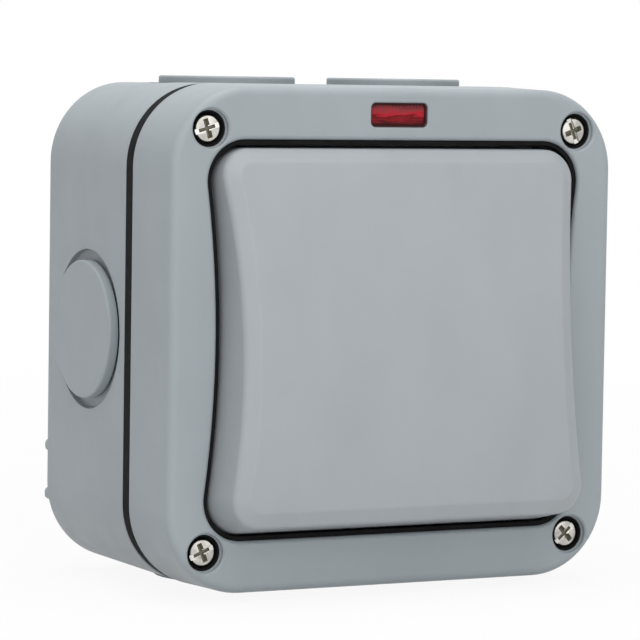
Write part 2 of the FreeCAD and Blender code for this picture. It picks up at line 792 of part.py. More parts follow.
def window_rim_test():
    """Make a test for the edges of the lens window in the cover's front face."""
    flat = at_depth("cover_face")
    reach_x = value("lens_width / 2") + NEAR
    low = value("lens_height - lens_tall / 2") - NEAR
    high = value("lens_height + lens_tall / 2") + NEAR

    def chosen(edge):
        box = edge.BoundBox
        across = max(abs(box.XMin), abs(box.XMax)) < reach_x
        return flat(edge) and across and box.ZMin > low and box.ZMax < high
    return chosen


def build_cover_gasket():
    """Model the gasket: a flat ring with an eyelet for each cover screw."""
    body = new_body("cover_gasket")
    ring = new_sketch(body, "gasket_ring", "XZ_Plane", "rim")
    for inset in ("gasket_inset", "gasket_band"):
        width, height = f"box_width - 2 * {inset}", f"box_height - 2 * {inset}"
        rounded_rectangle(ring, width, height, f"corner_radius - {inset}")
    pad(body, ring, "gasket_thickness")
    eyelets = new_sketch(body, "gasket_eyelets", "XZ_Plane", "rim")
    add_circles(eyelets, "eyelet_size", four_corners("screw_x", "screw_z"))
    pad(body, eyelets, "gasket_thickness")
    holes = new_sketch(body, "gasket_holes", "XZ_Plane", "seat")
    add_circles(holes, "screw_hole", four_corners("screw_x", "screw_z"))
    pocket(body, holes, "gasket_thickness")
    keep(body, "cover_gasket")


def build_cover_screws():
    """Model the cover screws, the seals under their heads and the inserts that they turn into."""
    screws, seals, inserts = [], [], []
    for number, (x, z) in enumerate(four_corners("screw_x", "screw_z")):
        head = cylinder(
            f"screw_head_{number}", "front", "screw_head", "screw_head_thickness", x, "head_back", z
        )
        shank = cylinder(f"screw_shank_{number}", "back", "screw_shank", "screw_length", x, "head_back", z)
        screws.append(fuse(f"cover_screw_{number}", head, shank))
        seal_size = "well_bore - 2 * screw_seal_slack"
        ring = cylinder(f"seal_ring_{number}", "back", seal_size, "screw_seal", x, "head_back", z)
        eye = cylinder(f"seal_eye_{number}", "back", "screw_shank", "screw_seal", x, "head_back", z)
        seals.append(cut(f"screw_seal_{number}", ring, eye))
        sleeve = cylinder(f"insert_sleeve_{number}", "back", "insert_size", "insert_length", x, "rim", z)
        thread = cylinder(f"insert_thread_{number}", "back", "screw_shank", "insert_length", x, "rim", z)
        inserts.append(cut(f"insert_{number}", sleeve, thread))
    keep(group("cover_screw_group", *screws), "cover_screws")
    keep(group("screw_seal_group", *seals), "cover_screw_seals")
    keep(group("insert_group", *inserts), "pillar_inserts")


def build_plugs():
    """Model the entry plugs, one piece each, and the flat seals that they stand on."""
    seals = []
    for side, sign in SIDES.items():
        x = signed(sign, "entry_spacing / 2")
        seals.append(build_plug(f"top_plug_{side}", "up", x, "spot_top"))
        seals.append(build_plug(f"bottom_plug_{side}", "down", x, "-(spot_top)"))
        seals.append(build_plug(f"side_plug_{side}", side, signed(sign, "spot_side"), "0"))
    keep(group("plug_seal_group", *seals), "plug_seals")


def build_plug(label, way, x, z):
    """Model one hollow plug with a round-edged head. Its own Z axis points out of the box.

    Returns the seal between its head and the seat.
    """
    body = new_body(label)
    head = new_sketch(body, f"{label}_head", "XY_Plane", "plug_seal")
    add_circles(head, "plug_head", [("0", "0")])
    pad(body, head, "plug_head_thickness")
    top = "plug_seal + plug_head_thickness"
    round_edges(body, f"{label}_round", "plug_round", at_height(top))
    shank = new_sketch(body, f"{label}_shank", "XY_Plane", "plug_seal")
    add_circles(shank, "plug_shank", [("0", "0")])
    pad(body, shank, "plug_length", backwards=True)
    hollow = new_sketch(body, f"{label}_hollow", "XY_Plane", "plug_seal - plug_length")
    add_circles(hollow, "plug_shank - 2 * plug_wall", [("0", "0")])
    pocket(body, hollow, "plug_length", forwards=True)
    body.Placement = FreeCAD.Placement(FreeCAD.Vector(), TURNS[way])
    put(body, x, "entry_depth", z)
    keep(body, label)
    outer = "plug_head - 2 * plug_seal_margin"
    ring = cylinder(f"{label}_seal_ring", way, outer, "plug_seal", x, "entry_depth", z)
    eye = cylinder(f"{label}_seal_eye", way, "plug_shank", "plug_seal", x, "entry_depth", z)
    return cut(f"{label}_seal", ring, eye)


# Rocker and boot

def build_rocker():
    """Model the rocker about its pivot: a crowned, waisted shell with pivot stubs and two pushers."""
    body = new_body("rocker")
    outline = new_sketch(body, "rocker_outline", "XZ_Plane", "-(rocker_skirt)")
    waisted_outline(outline, "-rocker_gap")
    pad(body, outline, "rocker_skirt + rocker_apex + rocker_bevel_depth", lean="-rocker_draft")
    crown_rocker(body)
    bevel_edges(body, "rocker_bevel", "rocker_bevel", "rocker_bevel_depth", rocker_rim_test(True))
    round_edges(body, "rocker_edge", "rocker_round", rocker_rim_test(False))
    round_edges(body, "rocker_crease", "rocker_crease", rocker_rim_test(True))
    stubs = new_sketch(body, "rocker_stubs", "YZ_Plane")
    add_circles(stubs, "pivot_size", [("0", "0")])
    pad(body, stubs, "recess_waist + 2 * pivot_reach", both_ways=True)
    hollow = new_sketch(body, "rocker_hollow", "XZ_Plane", "-(rocker_skirt)")
    waisted_outline(hollow, "-rocker_gap - rocker_wall")
    pocket(body, hollow, "rocker_skirt + rocker_inner", forwards=True, lean="-rocker_draft")
    pushers = new_sketch(body, "rocker_pushers", "XZ_Plane", "-(pusher_tip)")
    for side in SIGNS:
        half = "pusher_thickness / 4"
        z = signed(side, "pusher_spread / 2")
        rounded_rectangle(pushers, "pusher_width", "pusher_thickness", half, "0", z)
    pad(body, pushers, "pusher_tip + rocker_inner + rocker_skin / 2")
    body.Placement = FreeCAD.Placement(FreeCAD.Vector(), FreeCAD.Rotation(X_AXIS, 1))
    put(body, "0", "pivot_depth", "0")
    bind(body, "Placement.Rotation.Angle", "-rocker_tilt")
    keep(body, "rocker")


def crown_rocker(body):
    """Cut the rocker's front to a long arc from its top to its bottom."""
    sketch = new_sketch(body, "rocker_crown_line", "YZ_Plane")
    end = "rocker_half + rocker_gap"
    radius = value("rocker_crown")
    reach = value(end)
    apex = value("rocker_apex")
    dip = radius - math.sqrt(radius ** 2 - reach ** 2)
    lean = math.degrees(math.asin(reach / radius))
    front = value("rocker_apex + 2 * rocker_bevel_depth")
    crown = add_arc(sketch, radius - apex, 0, radius, 180 - lean, 180 + lean)
    upper = add_line(sketch, (dip - apex, reach), (-front, reach))
    outer = add_line(sketch, (-front, reach), (-front, -reach))
    lower = add_line(sketch, (-front, -reach), (dip - apex, -reach))
    sketch.addConstraint(Sketcher.Constraint("Coincident", crown, 1, upper, 1))
    sketch.addConstraint(Sketcher.Constraint("Coincident", upper, 2, outer, 1))
    sketch.addConstraint(Sketcher.Constraint("Coincident", outer, 2, lower, 1))
    sketch.addConstraint(Sketcher.Constraint("Coincident", lower, 2, crown, 2))
    sketch.addConstraint(Sketcher.Constraint("Horizontal", upper))
    sketch.addConstraint(Sketcher.Constraint("Horizontal", lower))
    dimension(sketch, "Radius", (crown,), "rocker_crown")
    pin_point(sketch, crown, 3, "rocker_crown - (rocker_apex)", "0")
    pin_point(sketch, outer, 1, "-(rocker_apex + 2 * rocker_bevel_depth)", end)
    pin_point(sketch, outer, 2, "-(rocker_apex + 2 * rocker_bevel_depth)", f"-({end})")
    pocket(body, sketch, "2 * box_width", both_ways=True)


def rocker_rim_test(crowned):
    """Make a test for edges round the rocker's front, on its crown or below the bevel."""
    centre = value("rocker_crown - (rocker_apex)")
    radius = value("rocker_crown")

    def chosen(edge):
        ends = [edge.valueAt(edge.FirstParameter), edge.valueAt(edge.LastParameter)]
        on_crown = [abs(math.hypot(end.y - centre, end.z) - radius) < NEAR for end in ends]
        return all(end.y < 0 and on == crowned for end, on in zip(ends, on_crown))
    return chosen


def build_rocker_seal():
    """Model the rubber lip in the gap round the rocker, bonded to the recess wall."""
    body = new_body("rocker_seal")
    ring = new_sketch(body, "rocker_seal_ring", "XZ_Plane", "cover_face - lip_sink")
    for grow in ("0", "-lip_width"):
        waisted_outline(ring, grow)
    pad(body, ring, "lip_thickness", backwards=True)
    keep(body, "rocker_seal")


def build_rocker_boot():
    """Model the rubber boot: a flange behind the tub and a cap that leans with the dolly below it."""
    body = new_body("rocker_boot")
    flange = new_sketch(body, "boot_flange_outline", "XZ_Plane", "plate_front")
    rounded_rectangle(flange, "boot_flange_width", "boot_flange_height", "boot_corner")
    pad(body, flange, "boot_flange")
    cap = new_sketch(body, "boot_cap", "XZ_Plane")
    tilt_sketch(cap, "dolly_pivot", "boot_top", "rocker_tilt")
    grown_width, grown_height = "boot_inner_width + 2 * boot_wall", "boot_inner_height + 2 * boot_wall"
    rounded_rectangle(cap, grown_width, grown_height, "boot_corner")
    pad(body, cap, "boot_top", backwards=True)
    hollow = new_sketch(body, "boot_hollow", "XZ_Plane")
    tilt_sketch(hollow, "dolly_pivot", "boot_top - boot_wall", "rocker_tilt")
    rounded_rectangle(hollow, "boot_inner_width", "boot_inner_height", "boot_corner - boot_wall / 2")
    pocket(body, hollow, "boot_top + boot_flange")
    trim = new_sketch(body, "boot_trim", "XZ_Plane", "plate_front")
    rounded_rectangle(trim, "boot_flange_width", "boot_flange_height", "boot_corner")
    pocket(body, trim, "boot_top")
    keep(body, "rocker_boot")


# Mechanism

def build_mech_plate():
    """Model the plate that carries the dolly and hangs the mechanism on the tub."""
    body = new_body("mech_plate")
    for name, width, height in (("plate", "mech_width", "mech_height"), ("ears", "ear_span", "ear_height")):
        outline = new_sketch(body, name, "XZ_Plane", "plate_rear")
        rounded_rectangle(outline, width, height, "mech_corner")
        pad(body, outline, "plate_thickness")
    opening = new_sketch(body, "dolly_opening", "XZ_Plane", "plate_front")
    opening_height = "2 * (dolly_neck + dolly_swing_room)"
    rounded_rectangle(opening, "dolly_width + 2 * dolly_slack", opening_height, "mech_corner")
    pocket(body, opening, "plate_thickness")
    pins = new_sketch(body, "dolly_pin_holes", "YZ_Plane")
    add_circles(pins, "dolly_pin + 2 * dolly_pin_slack", [("-(dolly_pivot)", "0")])
    pocket(body, pins, "dolly_width + 2 * dolly_slack + 2 * dolly_pin_reach", both_ways=True)
    screws = new_sketch(body, "plate_screw_holes", "XZ_Plane", "plate_front")
    spots = [(signed(side, "mech_screw_x"), "0") for side in SIGNS]
    add_circles(screws, "mech_screw_size + 2 * mech_screw_slack", spots)
    pocket(body, screws, "plate_thickness")
    rivets = new_sketch(body, "plate_rivet_holes", "XZ_Plane", "plate_front")
    add_circles(rivets, "rivet_size", four_corners("rivet_x", "rivet_z"))
    pocket(body, rivets, "plate_thickness")
    keep(body, "mech_plate")


def build_mech_body():
    """Model the moulding that holds both poles: a cavity in front, terminal pockets behind."""
    body = new_body("mech_body")
    outline = new_sketch(body, "mech_outline", "XZ_Plane", "mech_rear")
    rounded_rectangle(outline, "mech_width", "mech_height", "mech_corner")
    pad(body, outline, "mech_depth")
    cavity = new_sketch(body, "mech_cavity", "XZ_Plane", "plate_rear")
    rounded_rectangle(cavity, "cavity_width", "cavity_height", "mech_corner")
    pocket(body, cavity, "plate_rear - strap_back")
    spots = four_corners("pole_x", "terminal_offset")
    pockets = new_sketch(body, "terminal_pockets", "XZ_Plane", "mech_rear")
    for x, z in spots:
        half = "terminal_size / 2"
        corners = [
            (f"{x} + {signed(sx, half)}", f"{z} + {signed(sz, half)}")
            for sx, sz in ((1, 1), (-1, 1), (-1, -1), (1, -1))
        ]
        add_polygon(pockets, corners)
    pocket(body, pockets, "strap_front - mech_rear", forwards=True)
    for way, sign in (("upper", 1), ("lower", -1)):
        entries = new_sketch(body, f"{way}_wire_entries", "XY_Plane", signed(sign, "mech_height / 2"))
        places = [(signed(side, "pole_x"), "-(wire_depth)") for side in SIGNS]
        add_circles(entries, "wire_entry", places)
        length = "mech_height / 2 - terminal_offset - terminal_size / 2"
        pocket(body, entries, length, forwards=sign < 0)
    rivets = new_sketch(body, "body_rivet_holes", "XZ_Plane", "plate_rear")
    add_circles(rivets, "rivet_size", four_corners("rivet_x", "rivet_z"))
    pocket(body, rivets, "mech_depth")
    keep(body, "mech_body")


def build_mech_fasteners():
    """Model the screws that hang the mechanism on the tub and the rivets that hold its case shut."""
    screws, rivets = [], []
    for side, sign in SIDES.items():
        x = signed(sign, "mech_screw_x")
        grip = "plate_thickness + mech_screw_bite"
        seat = (x, "plate_rear", "0")
        head_sizes = ("mech_screw_head", "mech_screw_head_thickness")
        head = cylinder(f"mech_screw_head_{side}", "back", *head_sizes, *seat)
        shank = cylinder(f"mech_screw_shank_{side}", "front", "mech_screw_size", grip, *seat)
        screws.append(fuse(f"mech_screw_{side}", head, shank))
    for number, (x, z) in enumerate(four_corners("rivet_x", "rivet_z")):
        length = "mech_depth + plate_thickness"
        shank = cylinder(f"rivet_shank_{number}", "front", "rivet_size", length, x, "mech_rear", z)
        head_sizes = ("rivet_head", "rivet_head_thickness")
        rear = cylinder(f"rivet_rear_{number}", "back", *head_sizes, x, "mech_rear", z)
        front = cylinder(f"rivet_front_{number}", "front", *head_sizes, x, "plate_front", z)
        rivets.append(fuse(f"rivet_{number}", shank, rear, front))
    keep(group("mech_screw_group", *screws), "mech_screws")
    keep(group("rivet_group", *rivets), "mech_rivets")


def build_dolly():
    """Model the dolly about its pivot: wings under the boot, pins at its sides, a bored tail."""
    body = new_body("dolly")
    profile = new_sketch(body, "dolly_profile", "YZ_Plane")
    upper = [
        ("-dolly_reach", "dolly_wing"),
        ("dolly_wing_thickness - dolly_reach", "dolly_wing"),
        ("-dolly_neck_reach", "dolly_neck"),
        ("dolly_tail_reach", "dolly_tail"),
    ]
    lower = [(y, f"-{z}") for y, z in reversed(upper)]
    add_polygon(profile, upper + lower)
    pad(body, profile, "dolly_width", both_ways=True)
    pins = new_sketch(body, "dolly_pins", "YZ_Plane")
    add_circles(pins, "dolly_pin", [("0", "0")])
    pad(body, pins, "dolly_width + 2 * (dolly_slack + dolly_pin_reach - dolly_pin_gap)", both_ways=True)
    bores = new_sketch(body, "plunger_bores", "XZ_Plane", "-dolly_tail_reach")
    add_circles(bores, "plunger_bore", [(signed(sign, "pole_x"), "0") for sign in SIGNS])
    pocket(body, bores, "plunger_bore_depth", forwards=True)
    body.Placement = FreeCAD.Placement(FreeCAD.Vector(), FreeCAD.Rotation(X_AXIS, 1))
    put(body, "0", "dolly_pivot", "0")
    bind(body, "Placement.Rotation.Angle", "-rocker_tilt")
    keep(body, "dolly")


def build_plungers():
    """Model each pole's round-nosed plunger in the dolly, and the coil spring behind it as a sleeve."""
    for pole, sign in POLES.items():
        x = signed(sign, "pole_x")
        nose = "plunger_reach - plunger_size / 2"
        rod = tilted_cylinder(
            f"{pole}_rod", "plunger_size", f"{nose} - (plunger_back)", x,
            "dolly_pivot", "plunger_back", "0", "-rocker_tilt",
        )
        tip = doc.addObject("Part::Sphere", f"{pole}_nose")
        bind(tip, "Radius", "plunger_size / 2")
        put(tip, x, f"dolly_pivot - ({nose}) * cos(rocker_tilt)", f"-({nose}) * sin(rocker_tilt)")
        keep(fuse(f"{pole}_plunger_solid", rod, tip), f"{pole}_plunger")
        spring_args = (x, "dolly_pivot", "-(spring_end)", "0", "-rocker_tilt")
        length = "plunger_back + spring_end"
        outer = tilted_cylinder(f"{pole}_spring_outer", "spring_size", length, *spring_args)
        inner = tilted_cylinder(f"{pole}_spring_inner", "spring_size - 2 * spring_wall", length, *spring_args)
        keep(cut(f"{pole}_spring_solid", outer, inner), f"{pole}_spring")


def build_contacts():
    """Model the rocking blades and the contact tips of both poles."""
    moving, fixed = [], []
    for pole, sign in POLES.items():
        x = signed(sign, "pole_x")
        body = new_body(f"{pole}_blade")
        outline = new_sketch(body, f"{pole}_blade_outline", "XZ_Plane")
        rounded_rectangle(outline, "blade_width", "blade_length", "blade_round")
        pad(body, outline, "blade_thickness")
        body.Placement = FreeCAD.Placement(FreeCAD.Vector(), FreeCAD.Rotation(X_AXIS, 1))
        put(body, x, "blade_depth", "0")
        bind(body, "Placement.Rotation.Angle", "blade_tilt")
        keep(body, f"{pole}_blade")
        tip_sizes = ("tip_size", "tip_thickness")
        leaned = (x, "blade_depth", "0", "tip_offset", "blade_tilt")
        moving.append(tilted_cylinder(f"{pole}_moving_tip", *tip_sizes, *leaned))
        fixed.append(cylinder(f"{pole}_fixed_tip", "back", *tip_sizes, x, "fixed_front", "tip_offset"))
    keep(group("moving_tip_group", *moving), "moving_tips")
    keep(group("fixed_tip_group", *fixed), "fixed_tips")


def build_terminals():
    """Model the four brass terminals, with the feed ones' fulcrums, and their clamping screws."""
    screws = []
    for pole, sign in POLES.items():
        x = signed(sign, "pole_x")
        for use, end in (("load", 1), ("feed", -1)):
            name = f"{pole}_{use}"
            z = signed(end, "terminal_offset")
            block_sizes = ("terminal_size", "strap_front - mech_rear", "terminal_size")
            body = block(f"{name}_block", *block_sizes, x, "mech_rear", z)
            inner_end = "load_strap_end" if use == "load" else "-feed_strap_end"
            length = f"terminal_inner - ({inner_end})"
            middle = signed(end, f"(terminal_inner + ({inner_end})) / 2")
            strap = block(f"{name}_strap", "blade_width", "strap_thickness", length, x, "strap_back", middle)
            pieces = [body, strap]
            if use == "feed":
                pieces.append(build_fulcrum(pole, x))
            rough = fuse(f"{name}_rough", *pieces)
            outer = signed(end, "terminal_offset + terminal_size / 2")
            way = "down" if end > 0 else "up"
            wire = cylinder(f"{name}_wire_bore", way, "wire_bore", "wire_bore_depth", x, "wire_depth", outer)
            thread = cylinder(f"{name}_thread", "front", "terminal_screw", "wire_level", x, "mech_rear", z)
            keep(cut(f"{name}_solid", rough, wire, thread), f"{name}_terminal")
            screws.append(terminal_screw(name, "front", x, "mech_rear", z, "wire_level - lead_size / 2"))
    keep(group("terminal_screw_group", *screws), "terminal_screws")


def build_fulcrum(pole, x):
    """Model the ridge on a feed strap that the blade rocks on."""
    ridge = doc.addObject("Part::Wedge", f"{pole}_fulcrum")
    ridge.Placement = FreeCAD.Placement(FreeCAD.Vector(), TURNS["down"])
    bind(ridge, "Xmin", "-blade_width / 2")
    bind(ridge, "Xmax", "blade_width / 2")
    bind(ridge, "X2min", "-blade_width / 2")
    bind(ridge, "X2max", "blade_width / 2")
    bind(ridge, "Zmin", "-fulcrum_base / 2")
    bind(ridge, "Zmax", "fulcrum_base / 2")
    bind(ridge, "Z2min", "-fulcrum_edge / 2")
    bind(ridge, "Z2max", "fulcrum_edge / 2")
    bind(ridge, "Ymin", "0")
    bind(ridge, "Ymax", "blade_depth - fulcrum_gap - strap_front")
    return put(ridge, x, "strap_front", "0")


def terminal_screw(name, way, x, depth, z, length):
    """Model one clamping screw whose head lies on a terminal's face."""
    away = "back" if way == "front" else "front"
    head = cylinder(
        f"{name}_screw_head", away, "terminal_screw_head", "terminal_screw_head_thickness", x, depth, z
    )
    shank = cylinder(f"{name}_screw_shank", way, "terminal_screw", length, x, depth, z)
    return fuse(f"{name}_screw", head, shank)


def build_earth_terminal():
    """Model the earth block on the box's rear wall and its clamping screw."""
    rear = "standoff + rear_wall"
    z = "-(earth_drop)"
    body = block("earth_block", "terminal_size", "earth_depth", "terminal_size", "0", rear, z)
    level = "earth_front - wire_level"
    side = "-terminal_size / 2"
    wire = cylinder("earth_wire_bore", "right", "wire_bore", "terminal_size", side, level, z)
    thread = cylinder("earth_thread", "back", "terminal_screw", "wire_level", "0", "earth_front", z)
    keep(cut("earth_solid", body, wire, thread), "earth_terminal")
    screw = terminal_screw("earth", "back", "0", "earth_front", z, "wire_level - lead_size / 2")
    keep(screw, "earth_screw")


# Indicator

def build_indicator_lens():
    """Model the lens: a block in the cover's window, a flange behind it and two cheeks for the lamp."""
    body = new_body("indicator_lens")
    flange = new_sketch(body, "lens_flange_outline", "XZ_Plane", "lens_back")
    rounded_rectangle(flange, "lens_flange_width", "lens_flange_tall", "lens_corner", "0", "lens_height")
    pad(body, flange, "lens_flange")
    front = new_sketch(body, "lens_front", "XZ_Plane", "lens_back")
    slim_width, slim_tall = "lens_width - 2 * lens_slack", "lens_tall - 2 * lens_slack"
    rounded_rectangle(front, slim_width, slim_tall, "lens_corner - lens_slack", "0", "lens_height")
    pad(body, front, "cover_face - lens_sink - (lens_back)")
    cheeks = new_sketch(body, "lens_cheeks", "XZ_Plane", "lens_back + lens_flange / 2")
    for side in SIGNS:
        x = signed(side, "lens_cheek_spread / 2")
        rounded_rectangle(cheeks, "lens_cheek", "lens_cheek_tall", "lens_cheek / 4", x, "lens_height")
    pad(body, cheeks, "lens_cheek_reach", backwards=True)
    sockets = new_sketch(body, "lamp_sockets", "YZ_Plane")
    add_circles(sockets, "lamp_size + 2 * lamp_slack", [("-(lamp_depth)", "lens_height")])
    pocket(body, sockets, "lamp_length", both_ways=True)
    keep(body, "indicator_lens")


def build_indicator_lamp():
    """Model the neon lamp: a glass tube with rounded ends, lying level behind the lens."""
    body = new_body("indicator_lamp")
    outline = new_sketch(body, "lamp_outline", "YZ_Plane", "-lamp_length / 2")
    add_circles(outline, "lamp_size", [("-(lamp_depth)", "lens_height")])
    pad(body, outline, "lamp_length")
    end = value("lamp_length / 2")
    round_edges(
        body, "lamp_ends", "lamp_round",
        lambda edge: edge.BoundBox.XLength < NEAR and abs(abs(edge.BoundBox.XMin) - end) < NEAR,
    )
    keep(body, "indicator_lamp")


def wire_tube(points, bend, size):
    """Sweep a round wire along straight runs joined by tangent arcs."""
    edges = []
    start = points[0]
    for before, corner, after in zip(points, points[1:], points[2:]):
        into = (corner - before).normalize()
        out = (after - corner).normalize()
        half_turn = into.getAngle(out) / 2
        setback = bend * math.tan(half_turn)
        arc_start = corner - into * setback
        arc_end = corner + out * setback
        inward = (out - into).normalize()
        arc_middle = corner + inward * (bend / math.cos(half_turn) - bend)
        edges.append(Part.LineSegment(start, arc_start).toShape())
        edges.append(Part.Arc(arc_start, arc_middle, arc_end).toShape())
        start = arc_end
    edges.append(Part.LineSegment(start, points[-1]).toShape())
    path = Part.Wire(edges)
    ring = Part.Wire(Part.Circle(points[0], points[1] - points[0], size / 2).toShape())
    return path.makePipeShell([ring], True, False)


def lead_points(sign):
    """List the corners of one lead, from the lamp's end to its load terminal."""
    x_lamp = sign * value("lamp_length / 2")
    x_pole = sign * value("pole_x")
    high = value("lens_height")
    turn = value("mech_height / 2 + lead_above")
    end = value("terminal_offset + terminal_size / 2 - lead_bite")
    lamp_y = -value("lamp_depth")
    drop_y = -value("lead_front")
    wire_y = -value("wire_depth")
    places = (
        (x_lamp, lamp_y, high),
        (x_pole, lamp_y, high),
        (x_pole, drop_y, high),
        (x_pole, drop_y, turn),
        (x_pole, wire_y, turn),
        (x_pole, wire_y, end),
    )
    return [FreeCAD.Vector(*place) for place in places]


def build_indicator_leads():
    """Model the lamp's two leads, and the resistor on one of them."""
    tubes = []
    for sign in SIGNS:
        tube = doc.addObject("Part::Feature", "indicator_lead")
        tube.Shape = wire_tube(lead_points(sign), value("lead_bend"), value("lead_size"))
        tubes.append(tube)
    keep(group("lead_group", *tubes), "indicator_leads")
    middle = "(lens_height + mech_height / 2 + lead_above) / 2 - resistor_length / 2"
    place = ("pole_x", "lead_front", middle)
    sleeve = cylinder("resistor_sleeve", "up", "resistor_size", "resistor_length", *place)
    core = cylinder("resistor_core", "up", "lead_size", "resistor_length", *place)
    keep(cut("resistor_solid", sleeve, core), "indicator_resistor")


def check_and_write():
    """Stop if anything failed, then write each piece to its own file."""
    doc.recompute()
    for item in doc.Objects:
        if "Invalid" in item.State or "Error" in item.State:
            raise RuntimeError(f"{item.Label} failed: {item.State}")
    for item in nodes:
        if item.Shape.isNull() or not item.Shape.isValid() or not item.Shape.Solids:
            raise RuntimeError(f"{item.Label} is not a valid solid")
    os.makedirs("parts", exist_ok=True)
    for item in nodes:
        item.Shape.exportStep(f"parts/{item.Label}.step")
        print(f"{item.Label}: {len(item.Shape.Solids)} solid(s), {item.Shape.Volume:.1f} mm3")


build_back_box()
build_front_cover()
build_cover_gasket()
build_cover_screws()
build_plugs()
build_rocker()
build_rocker_seal()
build_rocker_boot()
build_mech_plate()
build_mech_body()
build_mech_fasteners()
build_dolly()
build_plungers()
build_contacts()
build_terminals()
build_earth_terminal()
build_indicator_lens()
build_indicator_lamp()
build_indicator_leads()
check_and_write()
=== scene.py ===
"""Dresses an outdoor rocker switch: grey mouldings, black seals, bright screws and a red indicator.

Lengths are in millimetres until a mesh is written, and in metres from then on.
The frame is the part's own: X to the right, Z up, and the front faces -Y.
"""
import logging
import math
from collections.abc import Iterable, Sequence
from dataclasses import dataclass
from enum import Enum

import bmesh
import bpy
from mathutils import Matrix, Vector


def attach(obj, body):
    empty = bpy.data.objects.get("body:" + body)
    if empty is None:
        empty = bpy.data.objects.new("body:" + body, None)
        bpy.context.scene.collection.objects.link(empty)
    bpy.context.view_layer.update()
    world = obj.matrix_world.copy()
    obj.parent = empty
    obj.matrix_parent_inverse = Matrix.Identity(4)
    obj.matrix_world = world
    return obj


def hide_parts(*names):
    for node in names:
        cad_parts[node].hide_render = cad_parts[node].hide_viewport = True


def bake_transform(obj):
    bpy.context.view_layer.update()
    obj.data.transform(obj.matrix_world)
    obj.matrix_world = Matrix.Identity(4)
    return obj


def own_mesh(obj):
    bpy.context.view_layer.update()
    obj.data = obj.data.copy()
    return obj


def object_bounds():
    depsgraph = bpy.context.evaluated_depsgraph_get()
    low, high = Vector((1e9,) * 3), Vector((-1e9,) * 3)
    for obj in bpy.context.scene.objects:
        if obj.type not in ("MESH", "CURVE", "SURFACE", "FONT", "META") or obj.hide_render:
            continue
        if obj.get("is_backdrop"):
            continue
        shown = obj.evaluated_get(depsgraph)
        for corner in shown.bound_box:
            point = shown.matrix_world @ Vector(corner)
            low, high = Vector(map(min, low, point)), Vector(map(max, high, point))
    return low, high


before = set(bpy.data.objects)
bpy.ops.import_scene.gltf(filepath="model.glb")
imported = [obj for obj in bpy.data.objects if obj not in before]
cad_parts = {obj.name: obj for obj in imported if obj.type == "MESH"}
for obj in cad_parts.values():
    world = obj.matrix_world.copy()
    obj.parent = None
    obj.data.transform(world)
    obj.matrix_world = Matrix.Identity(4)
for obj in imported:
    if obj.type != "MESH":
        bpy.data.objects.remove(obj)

Colour = tuple[float, float, float]
Place = tuple[float, float, float]
Profile = Sequence[tuple[float, float]]
Socket = bpy.types.NodeSocket
Solid = bmesh.types.BMesh

LOG = logging.getLogger("rocker_switch")
MM = 0.001
NEAR_ZERO = 1e-6
FULL_TURN = 2 * math.pi
FACING_FRONT = Matrix.Rotation(math.pi / 2, 4, "X")
FACING_WALL = Matrix.Rotation(-math.pi / 2, 4, "X")
SIGNS = (-1, 1)

# The dolly's pivot, and how far it leans at rest, in degrees
DOLLY_PIVOT = -40.2
REST_TILT = 5.7

# How finely round shapes are divided
ROUND_SIDES = 48
CORNER_STEPS = 8
CROWN_STEPS = 6
COIL_STEPS = 24
WIRE_SIDES = 8

# How closely the first and last turns of a spring lie together
COIL_EASE = 0.11

# Edges sharper than these stay sharp, in degrees
SCREW_CREASE = 30.0
SOFT_CREASE = 40.0
COIL_CREASE = 60.0

# The face attribute that marks painted shade, and the range of most of a random pattern
PAINTED_SHADE_MARK = "painted_shade"
PATTERN_LOW, PATTERN_HIGH = 0.3, 0.7
BEVEL_SAMPLES = 6
PLASTIC_IOR, RUBBER_IOR, GLASS_IOR = 1.49, 1.5, 1.5

# The wave texture turns through this many radians for each unit of its scale
WAVE_UNIT = 20
WHITE = (1, 1, 1, 1)


class Body(Enum):
    """The rigid bodies of the switch that a piece can ride on."""

    HOUSING = "housing"
    DOLLY = "dolly"


class Drive(Enum):
    """The recess that a screw head is turned by."""

    SLOT = "slot"
    CROSS_AND_SLOT = "cross_and_slot"


# Finishes


